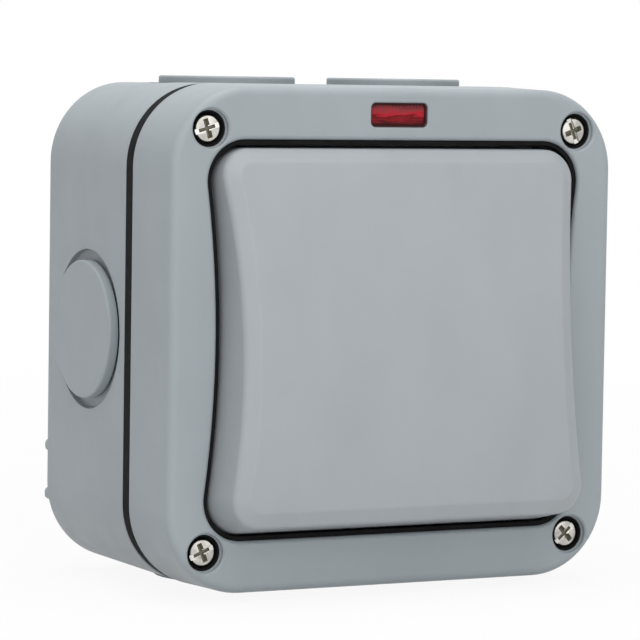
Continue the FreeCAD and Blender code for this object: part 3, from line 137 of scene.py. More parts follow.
class MaterialBench:
    """Adds nodes to one new material and joins them up."""

    def __init__(self, name: str) -> None:
        """Start a material that holds only its surface shader.

        Args:
            name: The material's name.
        """
        self.material = bpy.data.materials.new(name)
        self.material.use_nodes = True
        self.tree = self.material.node_tree
        self.shader = self.tree.nodes["Principled BSDF"]
        self.place = self.add("ShaderNodeTexCoord").outputs["Object"]

    def add(self, kind: str, **settings: object) -> bpy.types.Node:
        """Add one node.

        Args:
            kind: The node's type.
            settings: Properties to set on it.

        Returns:
            The new node.
        """
        node = self.tree.nodes.new(kind)
        for name, setting in settings.items():
            setattr(node, name, setting)
        return node

    def join(self, source: Socket, target: Socket) -> None:
        """Link an output to an input."""
        self.tree.links.new(source, target)

    def feed(self, name: str, source: Socket) -> None:
        """Link an output to one of the shader's inputs."""
        self.join(source, self.shader.inputs[name])

    def set(self, **values: object) -> None:
        """Set plain values on the shader, with underscores for the spaces in its socket names."""
        for name, setting in values.items():
            self.shader.inputs[name.replace("_", " ")].default_value = setting

    def noise(self, size: float, detail: float = 3.0, stretch: Place = (1, 1, 1)) -> Socket:
        """Make a soft random pattern.

        Args:
            size: The width of its blotches in millimetres.
            detail: How many finer layers it has.
            stretch: How much longer the blotches are along each axis.

        Returns:
            A value from 0 to 1.
        """
        mapping = self.add("ShaderNodeMapping")
        mapping.inputs["Scale"].default_value = tuple(1 / part for part in stretch)
        self.join(self.place, mapping.inputs["Vector"])
        texture = self.add("ShaderNodeTexNoise")
        texture.inputs["Scale"].default_value = 1 / (size * MM)
        texture.inputs["Detail"].default_value = detail
        self.join(mapping.outputs["Vector"], texture.inputs["Vector"])
        return texture.outputs["Fac"]

    def height(self, low: float, high: float) -> Socket:
        """Measure how far up a point is between two heights.

        Args:
            low: The height that counts as 0, in millimetres.
            high: The height that counts as 1.

        Returns:
            A value from 0 to 1.
        """
        parts = self.add("ShaderNodeSeparateXYZ")
        self.join(self.place, parts.inputs["Vector"])
        node = self.add("ShaderNodeMapRange")
        node.inputs["From Min"].default_value = low * MM
        node.inputs["From Max"].default_value = high * MM
        self.join(parts.outputs["Z"], node.inputs["Value"])
        return node.outputs["Result"]

    def spread(self, value: Socket, low: float, high: float) -> Socket:
        """Stretch the middle of a random pattern over a range.

        Args:
            value: The pattern.
            low: What its darker blotches become.
            high: What its lighter blotches become.

        Returns:
            The stretched value.
        """
        node = self.add("ShaderNodeMapRange")
        node.inputs["From Min"].default_value = PATTERN_LOW
        node.inputs["From Max"].default_value = PATTERN_HIGH
        node.inputs["To Min"].default_value = low
        node.inputs["To Max"].default_value = high
        self.join(value, node.inputs["Value"])
        return node.outputs["Result"]

    def combine(self, operation: str, first: Socket | float, second: Socket) -> Socket:
        """Work out one value from two.

        Args:
            operation: What is done with them.
            first: The first value, which may be a plain number.
            second: The second value.

        Returns:
            The result.
        """
        node = self.add("ShaderNodeMath", operation=operation)
        if isinstance(first, float):
            node.inputs[0].default_value = first
        else:
            self.join(first, node.inputs[0])
        self.join(second, node.inputs[1])
        return node.outputs["Value"]

    def tint(self, value: Socket, dark: Colour, light: Colour) -> Socket:
        """Mix two colours by a pattern.

        Args:
            value: The pattern.
            dark: The colour where it is low.
            light: The colour where it is high.

        Returns:
            The mixed colour.
        """
        ramp = self.add("ShaderNodeValToRGB")
        stops = ramp.color_ramp.elements
        for stop, position, colour in zip(stops, (PATTERN_LOW, PATTERN_HIGH), (dark, light)):
            stop.position = position
            stop.color = (*colour, 1)
        self.join(value, ramp.inputs["Fac"])
        return ramp.outputs["Color"]

    def cover(self, below: Socket, colour: Colour, share: Socket) -> Socket:
        """Lay a plain colour over another one.

        Args:
            below: The colour that is covered.
            colour: The plain colour.
            share: How much of the plain colour shows.

        Returns:
            The mixed colour.
        """
        mix = self.add("ShaderNodeMix", data_type="RGBA")
        mix.inputs["B"].default_value = (*colour, 1)
        self.join(share, mix.inputs["Factor"])
        self.join(below, mix.inputs["A"])
        return mix.outputs["Result"]

    def relief(self, layers: Sequence[tuple[Socket, float]], edge: float = 0.0) -> None:
        """Give the surface fine relief, and soften its sharp edges.

        Args:
            layers: Patterns, each with its depth in millimetres.
            edge: The radius that sharp edges seem to have, in millimetres.
        """
        normal = None
        if edge:
            soft = self.add("ShaderNodeBevel", samples=BEVEL_SAMPLES)
            soft.inputs["Radius"].default_value = edge * MM
            normal = soft.outputs["Normal"]
        for pattern, depth in layers:
            bump = self.add("ShaderNodeBump")
            bump.inputs["Distance"].default_value = depth * MM
            self.join(pattern, bump.inputs["Height"])
            if normal:
                self.join(normal, bump.inputs["Normal"])
            normal = bump.outputs["Normal"]
        if normal:
            self.feed("Normal", normal)


def shaded(colour: Colour, factor: float) -> Colour:
    """Make a colour lighter or darker."""
    return tuple(min(1.0, part * factor) for part in colour)


@dataclass(frozen=True)
class MouldedPlastic:
    """Satin plastic from a spark-eroded mould, with a fine grain and faint flow marks."""

    name: str
    colour: Colour
    roughness: float = 0.48
    specular: float = 0.42
    polish_size: float = 5.0
    polish_swing: float = 0.04
    flow_size: float = 14.0
    flow_stretch: Place = (1.0, 1.0, 2.2)
    mottle: float = 0.035
    ripple_size: float = 9.0
    ripple_depth: float = 0.012
    grain_size: float = 0.22
    grain_depth: float = 0.006
    edge: float = 0.25

    def material(self) -> bpy.types.Material:
        """Make the material."""
        bench = MaterialBench(self.name)
        flow = bench.noise(self.flow_size, detail=4.0, stretch=self.flow_stretch)
        light, dark = shaded(self.colour, 1 + self.mottle), shaded(self.colour, 1 - self.mottle)
        bench.feed("Base Color", bench.tint(flow, dark, light))
        low, high = self.roughness - self.polish_swing, self.roughness + self.polish_swing
        bench.feed("Roughness", bench.spread(bench.noise(self.polish_size), low, high))
        bench.set(IOR=PLASTIC_IOR, Specular_IOR_Level=self.specular)
        ripple = bench.noise(self.ripple_size, detail=1.0)
        grain = bench.noise(self.grain_size, detail=2.0)
        bench.relief([(ripple, self.ripple_depth), (grain, self.grain_depth)], self.edge)
        return bench.material


@dataclass(frozen=True)
class SealRubber:
    """Dull black elastomer with a dusty bloom."""

    name: str
    colour: Colour
    bloom: Colour
    roughness: float
    specular: float = 0.12
    bloom_size: float = 2.4
    wear_size: float = 1.2
    wear_swing: float = 0.08
    pore_size: float = 0.3
    pore_depth: float = 0.01
    edge: float = 0.4

    def material(self) -> bpy.types.Material:
        """Make the material."""
        bench = MaterialBench(self.name)
        dust = bench.noise(self.bloom_size, detail=5.0)
        bench.feed("Base Color", bench.tint(dust, self.colour, self.bloom))
        low, high = self.roughness - self.wear_swing, self.roughness + self.wear_swing
        bench.feed("Roughness", bench.spread(bench.noise(self.wear_size, detail=4.0), low, high))
        bench.set(IOR=RUBBER_IOR, Specular_IOR_Level=self.specular)
        bench.relief([(bench.noise(self.pore_size), self.pore_depth)], self.edge)
        return bench.material


@dataclass(frozen=True)
class Metal:
    """Plated or plain metal with fine tool marks, and painted shade where a mesh marks it."""

    name: str
    colour: Colour
    roughness: float
    polish_size: float = 0.8
    polish_range: tuple[float, float] = (0.8, 1.25)
    tarnish: float = 0.12
    tarnish_size: float = 1.6
    marks_size: float = 0.12
    marks_depth: float = 0.003
    marks_stretch: Place = (1.0, 1.0, 6.0)
    edge: float = 0.08
    # The colour of the painted shade in a screw's recess
    painted_shade: Colour = (0.15, 0.138, 0.1)

    def material(self) -> bpy.types.Material:
        """Make the material."""
        bench = MaterialBench(self.name)
        patches = bench.noise(self.tarnish_size, detail=4.0)
        unshaded = bench.tint(patches, shaded(self.colour, 1 - self.tarnish), self.colour)
        # Painted shade: marked faces turn from metal to a dark brown, standing in for the shade in
        # the driver's recess and, more faintly, on the face
        shade_share = bench.add("ShaderNodeAttribute", attribute_name=PAINTED_SHADE_MARK).outputs["Fac"]
        bench.feed("Base Color", bench.cover(unshaded, self.painted_shade, shade_share))
        bench.feed("Metallic", bench.combine("SUBTRACT", 1.0, shade_share))
        low, high = (self.roughness * share for share in self.polish_range)
        bench.feed("Roughness", bench.spread(bench.noise(self.polish_size), low, high))
        marks = bench.noise(self.marks_size, detail=2.0, stretch=self.marks_stretch)
        bench.relief([(marks, self.marks_depth)], self.edge)
        return bench.material


@dataclass(frozen=True)
class TintedLens:
    """Clear plastic dyed deep red, with wavy painted bands of highlight, reflection and shade, and
    the painted shade of flutes along its upper edge.
    """

    name: str
    layers: tuple[tuple[float, Colour], ...]
    shade: Colour
    low: float
    high: float
    roughness: float = 0.3
    specular: float = 0.1
    wave: float = 0.3
    wave_size: float = 1.0
    wave_stretch: Place = (4.0, 1.0, 0.8)
    flute: float = 0.74
    flute_foot: float = 0.75
    flute_head: float = 0.2
    relief_size: float = 0.9
    relief_depth: float = 0.05
    relief_stretch: Place = (3.5, 1.0, 0.8)
    edge: float = 0.15

    def material(self) -> bpy.types.Material:
        """Make the material."""
        bench = MaterialBench(self.name)
        bench.feed("Base Color", self.flute_shading(bench, self.dye_and_light_bands(bench)))
        bench.set(Roughness=self.roughness, IOR=PLASTIC_IOR, Specular_IOR_Level=self.specular)
        uneven = bench.noise(self.relief_size, detail=2.0, stretch=self.relief_stretch)
        bench.relief([(uneven, self.relief_depth)], self.edge)
        return bench.material

    def dye_and_light_bands(self, bench: MaterialBench) -> Socket:
        """Lay the red dye's painted bands of highlight, reflection and shade over each other from
        the bottom of the lens to its top.

        Args:
            bench: Where the nodes are added.

        Returns:
            The colour.
        """
        wave = bench.noise(self.wave_size, stretch=self.wave_stretch)
        sway = bench.spread(wave, -self.wave / 2, self.wave / 2)
        level = bench.combine("ADD", bench.height(self.low, self.high), sway)
        ramp = bench.add("ShaderNodeValToRGB")
        stops = ramp.color_ramp.elements
        while len(stops) < len(self.layers):
            stops.new(0.5)
        for stop, (position, colour) in zip(stops, self.layers):
            stop.position = position
            stop.color = (*colour, 1)
        bench.join(level, ramp.inputs["Fac"])
        return ramp.outputs["Color"]

    def flute_shading(self, bench: MaterialBench, colour: Socket) -> Socket:
        """Paint the shade of short flutes along the upper edge.

        Args:
            bench: Where the nodes are added.
            colour: The colour of the lens without them.

        Returns:
            The colour with them.
        """
        # Painted shade: dark dashes where the flutes along the top of the lens would be shaded
        flute_shade_wave = bench.add("ShaderNodeTexWave", bands_direction="X")
        flute_shade_wave.inputs["Scale"].default_value = FULL_TURN / (self.flute * MM) / WAVE_UNIT
        flute_shade_wave.inputs["Distortion"].default_value = 0.0
        bench.join(bench.place, flute_shade_wave.inputs["Vector"])
        near_top = bench.height(self.high - self.flute_foot, self.high - self.flute_head)
        share = bench.combine("MULTIPLY", flute_shade_wave.outputs["Fac"], near_top)
        return bench.cover(colour, self.shade, share)


@dataclass(frozen=True)
class LampGlass:
    """Thin clear glass with a faint warm cast."""

    name: str
    colour: Colour
    roughness: float = 0.05
    clearness: float = 0.9
    cast: float = 0.94
    cast_size: float = 3.0
    relief_size: float = 2.0
    relief_depth: float = 0.01

    def material(self) -> bpy.types.Material:
        """Make the material."""
        bench = MaterialBench(self.name)
        cloud = bench.noise(self.cast_size, detail=2.0)
        bench.feed("Base Color", bench.tint(cloud, shaded(self.colour, self.cast), self.colour))
        bench.set(Roughness=self.roughness, IOR=GLASS_IOR, Transmission_Weight=self.clearness)
        bench.relief([(bench.noise(self.relief_size, detail=2.0), self.relief_depth)])
        return bench.material


@dataclass(frozen=True)
class Coating:
    """A smooth sleeve or lacquer with slight waviness."""

    name: str
    colour: Colour
    roughness: float
    polish_size: float = 1.0
    polish_swing: float = 0.05
    cloud: float = 0.93
    cloud_size: float = 1.5
    relief_size: float = 0.5
    relief_depth: float = 0.008
    edge: float = 0.1

    def material(self) -> bpy.types.Material:
        """Make the material."""
        bench = MaterialBench(self.name)
        cloud = bench.noise(self.cloud_size)
        bench.feed("Base Color", bench.tint(cloud, shaded(self.colour, self.cloud), self.colour))
        low, high = self.roughness - self.polish_swing, self.roughness + self.polish_swing
        bench.feed("Roughness", bench.spread(bench.noise(self.polish_size, detail=2.0), low, high))
        bench.relief([(bench.noise(self.relief_size, detail=2.0), self.relief_depth)], self.edge)
        return bench.material


# The red dye, with painted bands: shade at the bottom and top edges, a bright highlight across the
# middle and a pale reflection above it
LENS_DYE_AND_LIGHT_BANDS = (
    (0.0, (0.045, 0.006, 0.006)),
    (0.14, (0.075, 0.006, 0.007)),
    (0.3, (0.24, 0.01, 0.016)),
    (0.42, (0.12, 0.005, 0.006)),
    (0.55, (0.46, 0.016, 0.032)),
    (0.68, (0.33, 0.032, 0.041)),
    (0.85, (0.24, 0.036, 0.042)),
    (1.0, (0.06, 0.012, 0.013)),
)
FINISHES = {finish.name: finish for finish in (
    MouldedPlastic("housing_grey", (0.335, 0.372, 0.395)),
    MouldedPlastic("rocker_grey", (0.360, 0.386, 0.408), roughness=0.45),
    # Near black: the rubber's own colour on the gasket and plug seals, and painted shade where it
    # lines the gap round the rocker and the screw wells
    SealRubber("seal_rubber", (0.005, 0.005, 0.0055), (0.012, 0.012, 0.013), 0.78),
    SealRubber("boot_rubber", (0.03, 0.03, 0.033), (0.05, 0.05, 0.055), 0.7),
    TintedLens("lens_red", LENS_DYE_AND_LIGHT_BANDS, shade=(0.02, 0.003, 0.004), low=40.3, high=44.56),
    # A dark rim round the lens that paints the shade of the window's walls and the gap round the
    # lens
    Coating("lens_shade_rim", (0.03, 0.006, 0.007), 0.35),
    Metal("screw_nickel", (0.78, 0.765, 0.72), 0.2, tarnish=0.4),
    Metal("brass", (0.78, 0.58, 0.27), 0.28),
    Metal("spring_steel", (0.56, 0.56, 0.57), 0.3),
    Metal("contact_silver", (0.86, 0.85, 0.82), 0.22),
    MouldedPlastic("mechanism_plastic", (0.60, 0.59, 0.55), roughness=0.55),
    MouldedPlastic("dolly_plastic", (0.72, 0.71, 0.67), roughness=0.42),
    LampGlass("lamp_glass", (0.95, 0.91, 0.86)),
    Coating("lead_sleeve", (0.78, 0.77, 0.73), 0.4),
    Coating("resistor_body", (0.66, 0.55, 0.36), 0.25),
)}


class FinishShelf:
    """Keeps one material for each finish, made when it is first asked for."""

    def __init__(self) -> None:
        """Start with no materials made."""
        self.made: dict[str, bpy.types.Material] = {}

    def get(self, slot: str) -> bpy.types.Material:
        """Give the material of a finish."""
        if slot not in self.made:
            self.made[slot] = FINISHES[slot].material()
        return self.made[slot]


SHELF = FinishShelf()


# Shared mesh work


def placed(name: str, data: bpy.types.ID) -> bpy.types.Object:
    """Put an object that shows some data into the scene."""
    item = bpy.data.objects.new(name, data)
    bpy.context.scene.collection.objects.link(item)
    return item


def written(solid: Solid, name: str) -> bpy.types.Mesh:
    """Write a solid to a new mesh, which uses it up."""
    mesh = bpy.data.meshes.new(name)
    solid.to_mesh(mesh)
    solid.free()
    return mesh


def paint(piece: bpy.types.Object, slot: str) -> None:
    """Put a finish on a piece in place of whatever it has."""
    piece.data.materials.clear()
    piece.data.materials.append(SHELF.get(slot))


def dress_nodes(slots: dict[str, str]) -> None:
    """Put finishes on nodes that keep their own shape.

    Args:
        slots: The finish for each node.
    """
    for node, slot in slots.items():
        paint(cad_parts[node], slot)
        LOG.info("%s keeps its shape, in %s", node, slot)


def add_piece(
    name: str, solid: Solid, crease: float, body: Body | None, slot: str, nodes: Iterable[str]
) -> bpy.types.Object:
    """Put a finished solid into the scene in place of some nodes.

    Args:
        name: The piece's name.
        solid: Its shape, in millimetres, which is used up.
        crease: Its edges sharper than this stay sharp, in degrees.
        body: What it moves with, or None for a piece between two bodies, which is attached to
            neither.
        slot: Its finish.
        nodes: The nodes that it stands for.

    Returns:
        The new piece.
    """
    piece = placed(name, to_mesh(solid, name, crease))
    paint(piece, slot)
    if body:
        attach(piece, body.value)
    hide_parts(*nodes)
    LOG.info("%s rides on %s, in %s", name, body.value if body else "two bodies", slot)
    return piece


def divided(steps: int) -> list[float]:
    """Divide a full turn into equal angles."""
    return [FULL_TURN * step / steps for step in range(steps)]


def on_circle(radius: float, angle: float, height: float) -> Place:
    """Give the point at an angle about the Z axis."""
    return radius * math.cos(angle), radius * math.sin(angle), height


def lathe(profile: Profile) -> Solid:
    """Turn a profile about the Z axis into a closed solid.

    Args:
        profile: Radius and height of each point in millimetres, both ends on the axis.

    Returns:
        The solid, in millimetres.
    """
    solid = bmesh.new()
    rings = []
    for radius, height in profile:
        angles = [0.0] if radius < NEAR_ZERO else divided(ROUND_SIDES)
        rings.append([solid.verts.new(on_circle(radius, angle, height)) for angle in angles])
    for lower, upper in zip(rings, rings[1:]):
        for step in range(ROUND_SIDES):
            after = (step + 1) % ROUND_SIDES
            corners = [lower[step % len(lower)], lower[after % len(lower)]]
            corners += [upper[after % len(upper)], upper[step % len(upper)]]
            solid.faces.new(list(dict.fromkeys(corners)))
    bmesh.ops.recalc_face_normals(solid, faces=solid.faces)
    return solid


def ring_lathe(profile: Profile) -> Solid:
    """Turn a closed profile about the Z axis into a ring.

    Args:
        profile: Radius and height of each corner in millimetres, in order round the section.

    Returns:
        The ring, in millimetres.
    """
    solid = bmesh.new()
    loops = [
        [solid.verts.new(on_circle(radius, angle, height)) for radius, height in profile]
        for angle in divided(ROUND_SIDES)
    ]
    bridge(solid, [*zip(loops, loops[1:]), (loops[-1], loops[0])])
    return solid


def bridge(solid: Solid, pairs: Iterable[tuple[list, list]]) -> None:
    """Join pairs of closed loops of points by bands of faces.

    Args:
        solid: The solid that the points belong to.
        pairs: The loops to join, with equally many points.
    """
    for loop, following in pairs:
        for step in range(len(loop)):
            after = (step + 1) % len(loop)
            solid.faces.new((loop[step], loop[after], following[after], following[step]))
    bmesh.ops.recalc_face_normals(solid, faces=solid.faces)


@dataclass(frozen=True)
class Section:
    """A rectangle with rounded corners, in millimetres, at a height along Z."""

    width: float
    tall: float
    corner: float
    level: float

    def points(self) -> list[Vector]:
        """Walk round the rectangle.

        Returns:
            Its points in order.
        """
        across, along = self.width / 2 - self.corner, self.tall / 2 - self.corner
        found = []
        for quarter, (sx, sy) in enumerate(((1, 1), (-1, 1), (-1, -1), (1, -1))):
            middle = Vector((sx * across, sy * along, self.level))
            for step in range(CORNER_STEPS + 1):
                turn = math.pi / 2 * (quarter + step / CORNER_STEPS)
                found.append(middle + self.corner * Vector((math.cos(turn), math.sin(turn), 0)))
        return found


def loft(sections: Sequence[Section], closed: bool) -> Solid:
    """Join sections in order.

    Args:
        sections: The sections.
        closed: Whether the last joins the first, as in a frame; otherwise both ends are filled.

    Returns:
        The solid, in millimetres.
    """
    solid = bmesh.new()
    loops = [[solid.verts.new(point) for point in section.points()] for section in sections]
    pairs = list(zip(loops, loops[1:]))
    if closed:
        pairs.append((loops[-1], loops[0]))
    else:
        solid.faces.new(loops[0])
        solid.faces.new(loops[-1])
    bridge(solid, pairs)
    return solid


def coil(radius: float, wire: float, length: float, turns: float) -> Solid:
    """Wind a wire into a spring along Z, with closed ends.

    Args:
        radius: From the axis to the middle of the wire, in millimetres.
        wire: The wire's diameter.
        length: The length of the whole spring.
        turns: How many turns it has, the two closed ones included.

    Returns:
        The spring, in millimetres, from the origin upwards.
    """
    solid = bmesh.new()
    steps = round(turns * COIL_STEPS)
    rise = length - wire
    rim = [on_circle(wire / 2, angle, 0.0) for angle in divided(WIRE_SIDES)]
    loops = []
    for step in range(steps + 1):
        share = step / steps
        phase = FULL_TURN * share
        eased = share + COIL_EASE * math.sin(2 * phase) / 2 - COIL_EASE * math.sin(phase)
        out = Vector(on_circle(1.0, FULL_TURN * turns * share, 0.0))
        middle = out * radius + Vector((0.0, 0.0, wire / 2 + rise * eased))
        loops.append([solid.verts.new(middle + out * x + Vector((0, 0, y))) for x, y, _ in rim])
    solid.faces.new(loops[0])
    solid.faces.new(loops[-1])
    bridge(solid, zip(loops, loops[1:]))
    return solid


def tapered_bar(length: float, width: float, deep: float, draft: float, top: float) -> Solid:
    """Make a bar that narrows downwards, for cutting a driver's recess.

    Args:
        length: Its length along X at the top.
        width: Its width at the top.
        deep: How far it reaches down.
        draft: How much each side comes in at the bottom.
        top: The height of its top.

    Returns:
        The bar, in millimetres.
    """
    bar = bmesh.new()
    bmesh.ops.create_cube(bar, size=1)
    for corner in bar.verts:
        inset = draft if corner.co.z < 0 else 0.0
        sign_x, sign_y = math.copysign(1, corner.co.x), math.copysign(1, corner.co.y)
        height = top - deep if corner.co.z < 0 else top
        corner.co = (sign_x * (length / 2 - inset), sign_y * (width / 2 - inset), height)
    return bar


def to_mesh(solid: Solid, name: str, crease: float) -> bpy.types.Mesh:
    """Write a solid from millimetres to a mesh in metres, smooth except at its sharp edges.

    Args:
        solid: The solid, which is used up.
        name: The mesh's name.
        crease: Edges sharper than this stay sharp, in degrees.

    Returns:
        The mesh.
    """
    bmesh.ops.scale(solid, vec=(MM, MM, MM), verts=solid.verts)
    for face in solid.faces:
        face.smooth = True
    for edge in solid.edges:
        edge.smooth = edge.calc_face_angle(math.pi) < math.radians(crease)
    return written(solid, name)


def carve(solid: Solid, cutters: Sequence[Solid]) -> Solid:
    """Cut other solids out of one.

    Args:
        solid: The solid to cut, which is used up.
        cutters: The solids to take away, which are used up.

    Returns:
        What is left.
    """
    work = [placed("carving", written(shape, "carving")) for shape in (solid, *cutters)]
    for cutter in work[1:]:
        step = work[0].modifiers.new("cut", "BOOLEAN")
        step.operation = "DIFFERENCE"
        step.solver = "EXACT"
        step.object = cutter
    ready = work[0].evaluated_get(bpy.context.evaluated_depsgraph_get())
    left = bmesh.new()
    left.from_mesh(ready.to_mesh())
    ready.to_mesh_clear()
    for item in work:
        mesh = item.data
        bpy.data.objects.remove(item)
        bpy.data.meshes.remove(mesh)
    return left


def gather(solids: Iterable[Solid]) -> Solid:
    """Put several solids into one, which uses them up."""
    whole = bmesh.new()
    for solid in solids:
        mesh = written(solid, "gathered")
        whole.from_mesh(mesh)
        bpy.data.meshes.remove(mesh)
    return whole


def moved(solid: Solid, matrix: Matrix) -> Solid:
    """Move a solid by a matrix in millimetres."""
    bmesh.ops.transform(solid, matrix=matrix, verts=solid.verts)
    return solid


# Sub-assemblies


@dataclass(frozen=True)
class TurnedScrew:
    """A machine screw with a domed head, a driver's recess and a rolled thread.

    Shares of the thread are of its pitch, those of the recess are of the head's size or height,
    and those of the cross's arms are of the slot's width.
    """

    head: float
    head_height: float
    shank: float
    length: float
    drive: Drive
    pitch: float = 0.6
    flank_share: float = 0.3
    tip_share: float = 0.7
    tip_length: float = 0.4
    neck: float = 0.3
    rim_edge: float = 0.1
    rim_share: float = 0.25
    face_share: float = 0.84
    face_edge: float = 0.12
    crown: float = 0.16
    over: float = 0.1
    overrun: float = 0.4
    slot_share: float = 0.19
    plain_slot_depth: float = 0.55
    crossed_slot_depth: float = 0.38
    cross_share: float = 0.7
    cross_depth_share: float = 0.68
    arm_share: float = 1.1
    arm_draft: float = 0.4
    # The share of painted shade laid on the face of the head
    face_shade: float = 0.22
    arm_reach: float = 0.56
    floor_margin: float = 0.05
    crown_margin: float = 0.06
    margin: float = 0.02

    def build(self, twist: float) -> Solid:
        """Make the screw along Z, with the seat of its head at the origin and its head above.

        Args:
            twist: How far the recess is turned, in degrees.

        Returns:
            The screw, in millimetres, with the painted shade in its recess marked.
        """
        solid = carve(lathe(self.profile()), self.recess())
        marks = solid.faces.layers.float.new(PAINTED_SHADE_MARK)
        for face in solid.faces:
            face[marks] = self.painted_shade_at(face.calc_center_median())
        return moved(solid, Matrix.Rotation(math.radians(twist), 4, "Z"))

    def profile(self) -> list[tuple[float, float]]:
        """Draw half of the screw from its tip to the top of its head.

        Returns:
            Radius and height of each point.
        """
        radius, rim, tip = self.shank / 2, self.head / 2, -self.length
        flank = self.flank_share * self.pitch
        root = radius - flank
        points = [(0.0, tip), (root * self.tip_share, tip), (root, tip + self.tip_length)]
        height = tip + self.tip_length + self.pitch
        while height < -self.pitch:
            points += [(root, height - 2 * flank), (radius, height - flank), (root, height)]
            height += self.pitch
        points += [(radius, -self.neck), (radius, 0.0)]
        points += [(rim - self.rim_edge, 0.0), (rim, self.rim_edge)]
        face = rim * self.face_share
        shoulder = self.head_height - self.crown
        points.append((rim, self.rim_share * shoulder))
        points += [(face + self.face_edge, shoulder - self.face_edge), (face, shoulder)]
        for step in range(1, CROWN_STEPS):
            share = step / CROWN_STEPS
            points.append((face * (1 - share), shoulder + self.crown * (1 - (1 - share) ** 2)))
        points.append((0.0, self.head_height))
        return points

    def slot_depth(self) -> float:
        """Give the depth of the slot below the top of the head."""
        plain = self.drive is Drive.SLOT
        return (self.plain_slot_depth if plain else self.crossed_slot_depth) * self.head_height

    def cross_depth(self) -> float:
        """Give the depth of the cross below the top of the head."""
        return self.cross_depth_share * self.head_height

    def recess(self) -> list[Solid]:
        """Make the solids that cut the driver's recess.

        Returns:
            The cutters, in millimetres.
        """
        top = self.head_height + self.over
        wide = self.head * self.slot_share
        slot = tapered_bar(self.head + self.overrun, wide, self.over + self.slot_depth(), 0.0, top)
        if self.drive is Drive.SLOT:
            return [slot]
        span, deep = self.head * self.cross_share, self.over + self.cross_depth()
        arms = [
            tapered_bar(span, wide * self.arm_share, deep, self.arm_draft * wide, top)
            for _ in range(2)
        ]
        moved(arms[0], Matrix.Rotation(math.pi / 2, 4, "Z"))
        return [slot, *arms]

    def painted_shade_at(self, point: Vector) -> float:
        """Tell how much painted shade a point of the untwisted screw carries.

        Args:
            point: A point on its surface.

        Returns:
            1 in the arms across the slot and below its floor, less on the face, and 0 elsewhere.
        """
        floor = self.head_height - self.cross_depth() - self.floor_margin
        if self.drive is Drive.SLOT or point.z < floor:
            return 0.0
        if point.z > self.head_height - self.crown - self.crown_margin:
            return self.face_shade
        wide = self.head * self.slot_share
        reach = self.head * self.cross_share / 2
        beside_slot = wide / 2 < abs(point.y) < reach + self.margin
        in_arm = abs(point.x) < self.arm_reach * wide and beside_slot
        in_cross = abs(point.x) < reach and abs(point.y) < reach
        below_slot = point.z < self.head_height - self.slot_depth() - self.margin
        return 1.0 if in_arm or in_cross and below_slot else 0.0


@dataclass
class Housing:
    """The box, cover, plugs and the seals between them, which keep their modelled shapes."""

    mouldings: tuple[str, ...] = (
        "back_box", "front_cover", "top_plug_left", "top_plug_right", "side_plug_left",
        "side_plug_right", "bottom_plug_left", "bottom_plug_right",
    )
    seals: tuple[str, ...] = ("cover_gasket", "plug_seals")

    def build(self) -> None:
        """Dress the mouldings, the seals and the inserts in the pillars."""
        dress_nodes({node: "housing_grey" for node in self.mouldings})
        dress_nodes({node: "seal_rubber" for node in self.seals})
        dress_nodes({"pillar_inserts": "brass"})


@dataclass
class CoverScrews:
    """The four bright screws in the cover's corners, and the cupped seals that they press on, whose
    lips paint the shade in the wells.
    """

    screw: TurnedScrew = TurnedScrew(
        head=5.6, head_height=1.2, shank=3.5, length=28.0, drive=Drive.CROSS_AND_SLOT
    )
    corners: tuple[tuple[int, int], ...] = ((-1, 1), (1, 1), (-1, -1), (1, -1))
    twists: tuple[float, ...] = (17.0, 112.0, 22.0, 42.0)
    reach: float = 39.6
    seat: float = -56.2
    seal: float = 6.84
    seal_thickness: float = 0.8
    cup_height: float = 1.3
    cup_wall: float = 0.3
    cup_edge: float = 0.1
    cup_fillet: float = 0.15

    def build(self) -> None:
        """Make the screws, each turned to its own angle, and their seals."""
        screws, cups = [], []
        for (sx, sz), twist in zip(self.corners, self.twists):
            place = Matrix.Translation((sx * self.reach, self.seat, sz * self.reach)) @ FACING_FRONT
            screws.append(moved(self.screw.build(twist), place))
            cups.append(moved(self.cup(), place))
        for name, solids, crease, slot, node in (
            ("cover_screws_turned", screws, SCREW_CREASE, "screw_nickel", "cover_screws"),
            ("cover_screw_cups", cups, SOFT_CREASE, "seal_rubber", "cover_screw_seals"),
        ):
            add_piece(name, gather(solids), crease, Body.HOUSING, slot, [node])

    def cup(self) -> Solid:
        """Make one seal: a washer below the head, with a lip that stands up in the well and paints
        the shade of its lower wall.

        Returns:
            The seal, in millimetres, with the head's seat at the origin.
        """
        bore, rim = self.screw.shank / 2, self.seal / 2
        inner, top, low = rim - self.cup_wall, self.cup_height, -self.seal_thickness
        edge, fillet = self.cup_edge, self.cup_fillet
        return ring_lathe([
            (bore, 0.0), (bore, low), (rim, low), (rim, top - edge), (rim - edge, top),
            (inner, top - edge), (inner, fillet), (inner - fillet, 0.0),
        ])


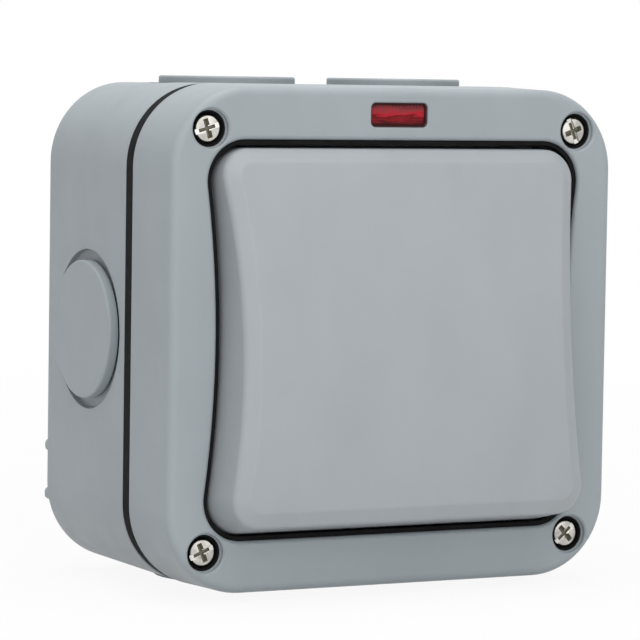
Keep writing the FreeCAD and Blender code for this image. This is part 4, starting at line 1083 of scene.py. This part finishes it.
@dataclass
class RockerUnit:
    """The rocker, the rubber lip round it, whose near-black finish paints the shade deep in the gap
    round the rocker, and the rubber boot below it.
    """

    held: float = -44.4
    free: float = -45.3
    cap_start: float = 5.0
    boot_sections: tuple[Section, ...] = (
        Section(27.0, 21.0, 1.5, 6.3),
        Section(28.4, 22.4, 1.5, 2.5),
        Section(46.0, 34.0, 2.0, 2.5),
        Section(46.0, 34.0, 2.0, 4.0),
        Section(30.4, 24.4, 2.0, 4.0),
        Section(29.0, 23.0, 2.0, 6.9),
        Section(28.7, 22.7, 1.85, 7.15),
        Section(28.0, 22.0, 1.5, 7.3),
    )

    def build(self) -> None:
        """Dress the rocker and its lip, which paints the shade in the gap, and make the boot."""
        dress_nodes({"rocker": "rocker_grey", "rocker_seal": "seal_rubber"})
        self.add_boot()

    def add_boot(self) -> None:
        """Make the boot, whose flange stays in the housing while its cap leans with the dolly."""
        boot = loft(self.boot_sections, closed=False)
        lean = Matrix.Rotation(-math.radians(REST_TILT), 4, "X")
        for point in boot.verts:
            in_cap = point.co.z > self.cap_start
            point.co = FACING_FRONT @ point.co
            if in_cap:
                point.co = lean @ point.co
        moved(boot, Matrix.Translation((0.0, DOLLY_PIVOT, 0.0)))
        name, slot = "rocker_boot_soft", "boot_rubber"
        piece = add_piece(name, boot, SOFT_CREASE, None, slot, ["rocker_boot"])
        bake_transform(piece)


@dataclass
class Indicator:
    """The red lens in the cover, with the lamp, leads and resistor behind it."""

    window_width: float = 12.2
    window_tall: float = 4.66
    window_corner: float = 1.0
    lens_front: Place = (0.0, -58.0, 42.43)
    shade_rim_section: Profile = ((0.04, 0.02), (0.04, 0.6), (0.14, 0.66), (0.26, 0.56), (0.4, 0.02))

    def build(self) -> None:
        """Dress the lens, the lamp and its wiring, and lay a dark rim on the edge of the lens,
        which paints the shade round it.
        """
        dress_nodes({
            "indicator_lens": "lens_red",
            "indicator_lamp": "lamp_glass",
            "indicator_leads": "lead_sleeve",
            "indicator_resistor": "resistor_body",
        })
        # The dark rim paints the shade of the window's walls and the gap round the lens
        sections = []
        for inset, level in self.shade_rim_section:
            width, tall = self.window_width - 2 * inset, self.window_tall - 2 * inset
            sections.append(Section(width, tall, self.window_corner - inset, level))
        rim = loft(sections, closed=True)
        moved(rim, Matrix.Translation(self.lens_front) @ FACING_FRONT)
        piece = add_piece("lens_shade_rim", rim, SOFT_CREASE, Body.HOUSING, "lens_red", [])
        paint(piece, "lens_shade_rim")


@dataclass
class Mechanism:
    """The double-pole switch behind the boot."""

    brass: tuple[str, ...] = (
        "line_plunger", "neutral_plunger", "line_blade", "neutral_blade", "line_feed_terminal",
        "line_load_terminal", "neutral_feed_terminal", "neutral_load_terminal", "earth_terminal",
    )
    clamp: TurnedScrew = TurnedScrew(
        head=4.4, head_height=1.2, shank=3.0, length=3.9, drive=Drive.SLOT, pitch=0.5
    )
    clamp_twists: tuple[float, ...] = (20.0, 70.0, -35.0, 5.0)
    earth_twists: tuple[float, ...] = (48.0,)
    hanger: TurnedScrew = TurnedScrew(
        head=4.6, head_height=1.6, shank=2.5, length=7.6, drive=Drive.CROSS_AND_SLOT, pitch=0.45
    )
    hanger_twists: tuple[float, ...] = (12.0, -50.0)
    pole_x: float = 7.5
    terminal_z: float = 15.0
    hanger_x: float = 28.0
    plate_rear: float = -37.7
    case_rear: float = -17.7
    earth_place: Place = (0.0, -13.0, -33.0)
    spring_size: float = 2.92
    spring_wire: float = 0.4
    spring_front: float = 2.0
    spring_length: float = 6.0
    spring_turns: float = 7.0
    spring_keep: float = 0.9

    def build(self) -> None:
        """Dress the mouldings and metal parts, and make the screws and springs."""
        dress_nodes({"mech_plate": "mechanism_plastic", "mech_body": "mechanism_plastic"})
        dress_nodes({"dolly": "dolly_plastic", "mech_rivets": "spring_steel"})
        dress_nodes({node: "brass" for node in self.brass})
        dress_nodes({"moving_tips": "contact_silver", "fixed_tips": "contact_silver"})
        self.add_screws()
        for pole, side in zip(("line", "neutral"), SIGNS):
            self.add_spring(pole, side * self.pole_x)

    def add_screws(self) -> None:
        """Make the terminals' clamping screws and the screws that hang the case on the cover."""
        clamps = [
            (sx * self.pole_x, self.case_rear, sz * self.terminal_z) for sx in SIGNS for sz in SIGNS
        ]
        hangers = [(sx * self.hanger_x, self.plate_rear, 0.0) for sx in SIGNS]
        for node, screw, places, facing, twists in (
            ("terminal_screws", self.clamp, clamps, FACING_WALL, self.clamp_twists),
            ("earth_screw", self.clamp, [self.earth_place], FACING_FRONT, self.earth_twists),
            ("mech_screws", self.hanger, hangers, FACING_WALL, self.hanger_twists),
        ):
            whole = gather(
                moved(screw.build(twist), Matrix.Translation(place) @ facing)
                for place, twist in zip(places, twists)
            )
            name = f"{node}_turned"
            add_piece(name, whole, SCREW_CREASE, Body.HOUSING, "screw_nickel", [node])

    def add_spring(self, pole: str, x: float) -> None:
        """Wind one plunger's spring in the dolly, on a mesh of its own.

        Args:
            pole: The pole that it belongs to.
            x: Its place across the switch.
        """
        lean = math.radians(REST_TILT)
        ahead = Vector((0.0, -math.cos(lean), math.sin(lean)))
        front = Vector((x, DOLLY_PIVOT, 0.0)) + ahead * self.spring_front
        radius = (self.spring_size - self.spring_wire) / 2
        spring = coil(radius, self.spring_wire, self.spring_length, self.spring_turns)
        turn = Matrix.Rotation(-math.pi / 2 - lean, 4, "X")
        moved(spring, Matrix.Translation(front) @ turn)
        name, node = f"{pole}_spring_coil", f"{pole}_spring"
        piece = add_piece(name, spring, COIL_CREASE, Body.DOLLY, "spring_steel", [node])
        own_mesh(piece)


# Studio


@dataclass(frozen=True)
class SoftLamp:
    """A square soft box that points at the switch."""

    name: str
    place: Place
    size: float
    power: float

    def build(self, target: Vector) -> None:
        """Make the lamp.

        Args:
            target: The point that it is aimed at.
        """
        data = bpy.data.lights.new(self.name, "AREA")
        data.shape = "SQUARE"
        data.size = self.size
        data.energy = self.power
        lamp = placed(self.name, data)
        lamp.location = self.place
        lamp.rotation_euler = (target - Vector(self.place)).to_track_quat("-Z", "Y").to_euler()


@dataclass
class Studio:
    """The plain white stage, its soft lamps and the camera, with lengths in metres."""

    camera_place: Place = (-0.317127, -0.639330, 0.049577)
    yaw: float = 27.387
    pitch: float = 4.014
    roll: float = 0.894
    focal_pixels: float = 3474.462
    picture_pixels: float = 640
    sensor: float = 36.0
    clip_start: float = 0.05
    floor_size: float = 12.0
    floor_gap: float = 0.0002
    floor_tone: float = 0.8
    floor_mottle: float = 0.985
    floor_mottle_size: float = 400.0
    floor_roughness: float = 0.9
    floor_specular: float = 0.1
    near_share: float = 0.92
    near_reach: float = 0.1
    far_reach: float = 0.5
    world_tone: float = 0.36
    seen_strength: float = 1.0
    lamps: tuple[SoftLamp, ...] = (
        SoftLamp("key", (-0.2, -0.46, 0.44), size=0.75, power=2.6),
        SoftLamp("fill", (0.2, -1.0, -0.02), size=0.8, power=1.6),
        SoftLamp("top", (0.0, 0.05, 1.0), size=0.7, power=5.4),
    )

    def build(self) -> None:
        """Set up the stage, the light and the camera."""
        low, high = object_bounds()
        self.add_floor(low.z)
        self.light_world()
        for lamp in self.lamps:
            lamp.build((low + high) / 2)
        self.add_camera()
        bpy.context.scene.view_settings.view_transform = "Standard"

    def add_floor(self, level: float) -> None:
        """Lay a pale floor just below the switch.

        Args:
            level: The height of the switch's lowest point.
        """
        half = self.floor_size / 2
        sheet = bmesh.new()
        places = ((-half, -half), (half, -half), (half, half), (-half, half))
        sheet.faces.new([sheet.verts.new((x, y, level - self.floor_gap)) for x, y in places])
        floor = placed("floor", written(sheet, "floor"))
        floor.data.materials.append(self.floor_material())
        floor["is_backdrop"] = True

    def floor_material(self) -> bpy.types.Material:
        """Make the floor pale, and nearly white where it is seen, more so far from the switch.

        Returns:
            The floor's material.
        """
        bench = MaterialBench("pale_floor")
        mottle = bench.noise(self.floor_mottle_size, detail=2.0)
        dark, light = (self.floor_tone * self.floor_mottle,) * 3, (self.floor_tone,) * 3
        bench.feed("Base Color", bench.tint(mottle, dark, light))
        bench.set(Roughness=self.floor_roughness, Specular_IOR_Level=self.floor_specular)
        glow = bench.add("ShaderNodeEmission")
        glow.inputs["Strength"].default_value = self.seen_strength
        away = bench.add("ShaderNodeVectorMath", operation="LENGTH")
        bench.join(bench.place, away.inputs[0])
        share = bench.add("ShaderNodeMapRange")
        share.inputs["From Min"].default_value = self.near_reach
        share.inputs["From Max"].default_value = self.far_reach
        share.inputs["To Min"].default_value = self.near_share
        bench.join(away.outputs["Value"], share.inputs["Value"])
        seen = bench.combine("MULTIPLY", self.seen_rays(bench.tree), share.outputs["Result"])
        mix = bench.add("ShaderNodeMixShader")
        bench.join(seen, mix.inputs["Fac"])
        bench.join(bench.shader.outputs["BSDF"], mix.inputs[1])
        bench.join(glow.outputs["Emission"], mix.inputs[2])
        bench.join(mix.outputs["Shader"], bench.tree.nodes["Material Output"].inputs["Surface"])
        return bench.material

    @staticmethod
    def seen_rays(tree: bpy.types.NodeTree) -> Socket:
        """Pick out the rays that show the background to the eye, also in metal and clear plastic.

        Args:
            tree: The node tree to add to.

        Returns:
            1 for such rays, and 0 for the rest.
        """
        path = tree.nodes.new("ShaderNodeLightPath")
        seen = path.outputs["Is Camera Ray"]
        for kind in ("Is Glossy Ray", "Is Transmission Ray"):
            either = tree.nodes.new("ShaderNodeMath")
            either.operation = "MAXIMUM"
            tree.links.new(seen, either.inputs[0])
            tree.links.new(path.outputs[kind], either.inputs[1])
            seen = either.outputs["Value"]
        return seen

    def light_world(self) -> None:
        """Light the scene evenly from all round, and show white behind it."""
        world = bpy.data.worlds.new("studio")
        world.use_nodes = True
        tree = world.node_tree
        back = tree.nodes["Background"]
        shown = tree.nodes.new("ShaderNodeBackground")
        mix = tree.nodes.new("ShaderNodeMixShader")
        back.inputs["Color"].default_value = WHITE
        back.inputs["Strength"].default_value = self.world_tone
        shown.inputs["Color"].default_value = WHITE
        shown.inputs["Strength"].default_value = self.seen_strength
        tree.links.new(self.seen_rays(tree), mix.inputs["Fac"])
        tree.links.new(back.outputs["Background"], mix.inputs[1])
        tree.links.new(shown.outputs["Background"], mix.inputs[2])
        tree.links.new(mix.outputs["Shader"], tree.nodes["World Output"].inputs["Surface"])
        bpy.context.scene.world = world

    def add_camera(self) -> None:
        """Stand the camera where the photograph was taken from."""
        yaw, pitch, roll = (math.radians(turn) for turn in (self.yaw, self.pitch, self.roll))
        level = math.cos(pitch)
        ahead = Vector((math.sin(yaw) * level, math.cos(yaw) * level, -math.sin(pitch)))
        right = Vector((math.cos(yaw), -math.sin(yaw), 0.0))
        up = right.cross(ahead)
        rolled_right = right * math.cos(roll) + up * math.sin(roll)
        rolled_up = up * math.cos(roll) - right * math.sin(roll)
        turn = Matrix((rolled_right, rolled_up, -ahead)).transposed()
        data = bpy.data.cameras.new("camera")
        data.sensor_width = self.sensor
        data.lens = self.sensor * (self.focal_pixels / self.picture_pixels)
        data.clip_start = self.clip_start
        camera = placed("camera", data)
        camera.matrix_world = Matrix.Translation(self.camera_place) @ turn.to_4x4()
        bpy.context.scene.camera = camera


def main() -> None:
    """Build the switch's sub-assemblies in order, then the studio."""
    logging.basicConfig(level=logging.INFO, format="%(message)s")
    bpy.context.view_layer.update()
    for unit in (Housing(), CoverScrews(), RockerUnit(), Indicator(), Mechanism()):
        unit.build()
        LOG.info("%s done", type(unit).__name__)
    Studio().build()


if __name__ == "__main__":
    main()
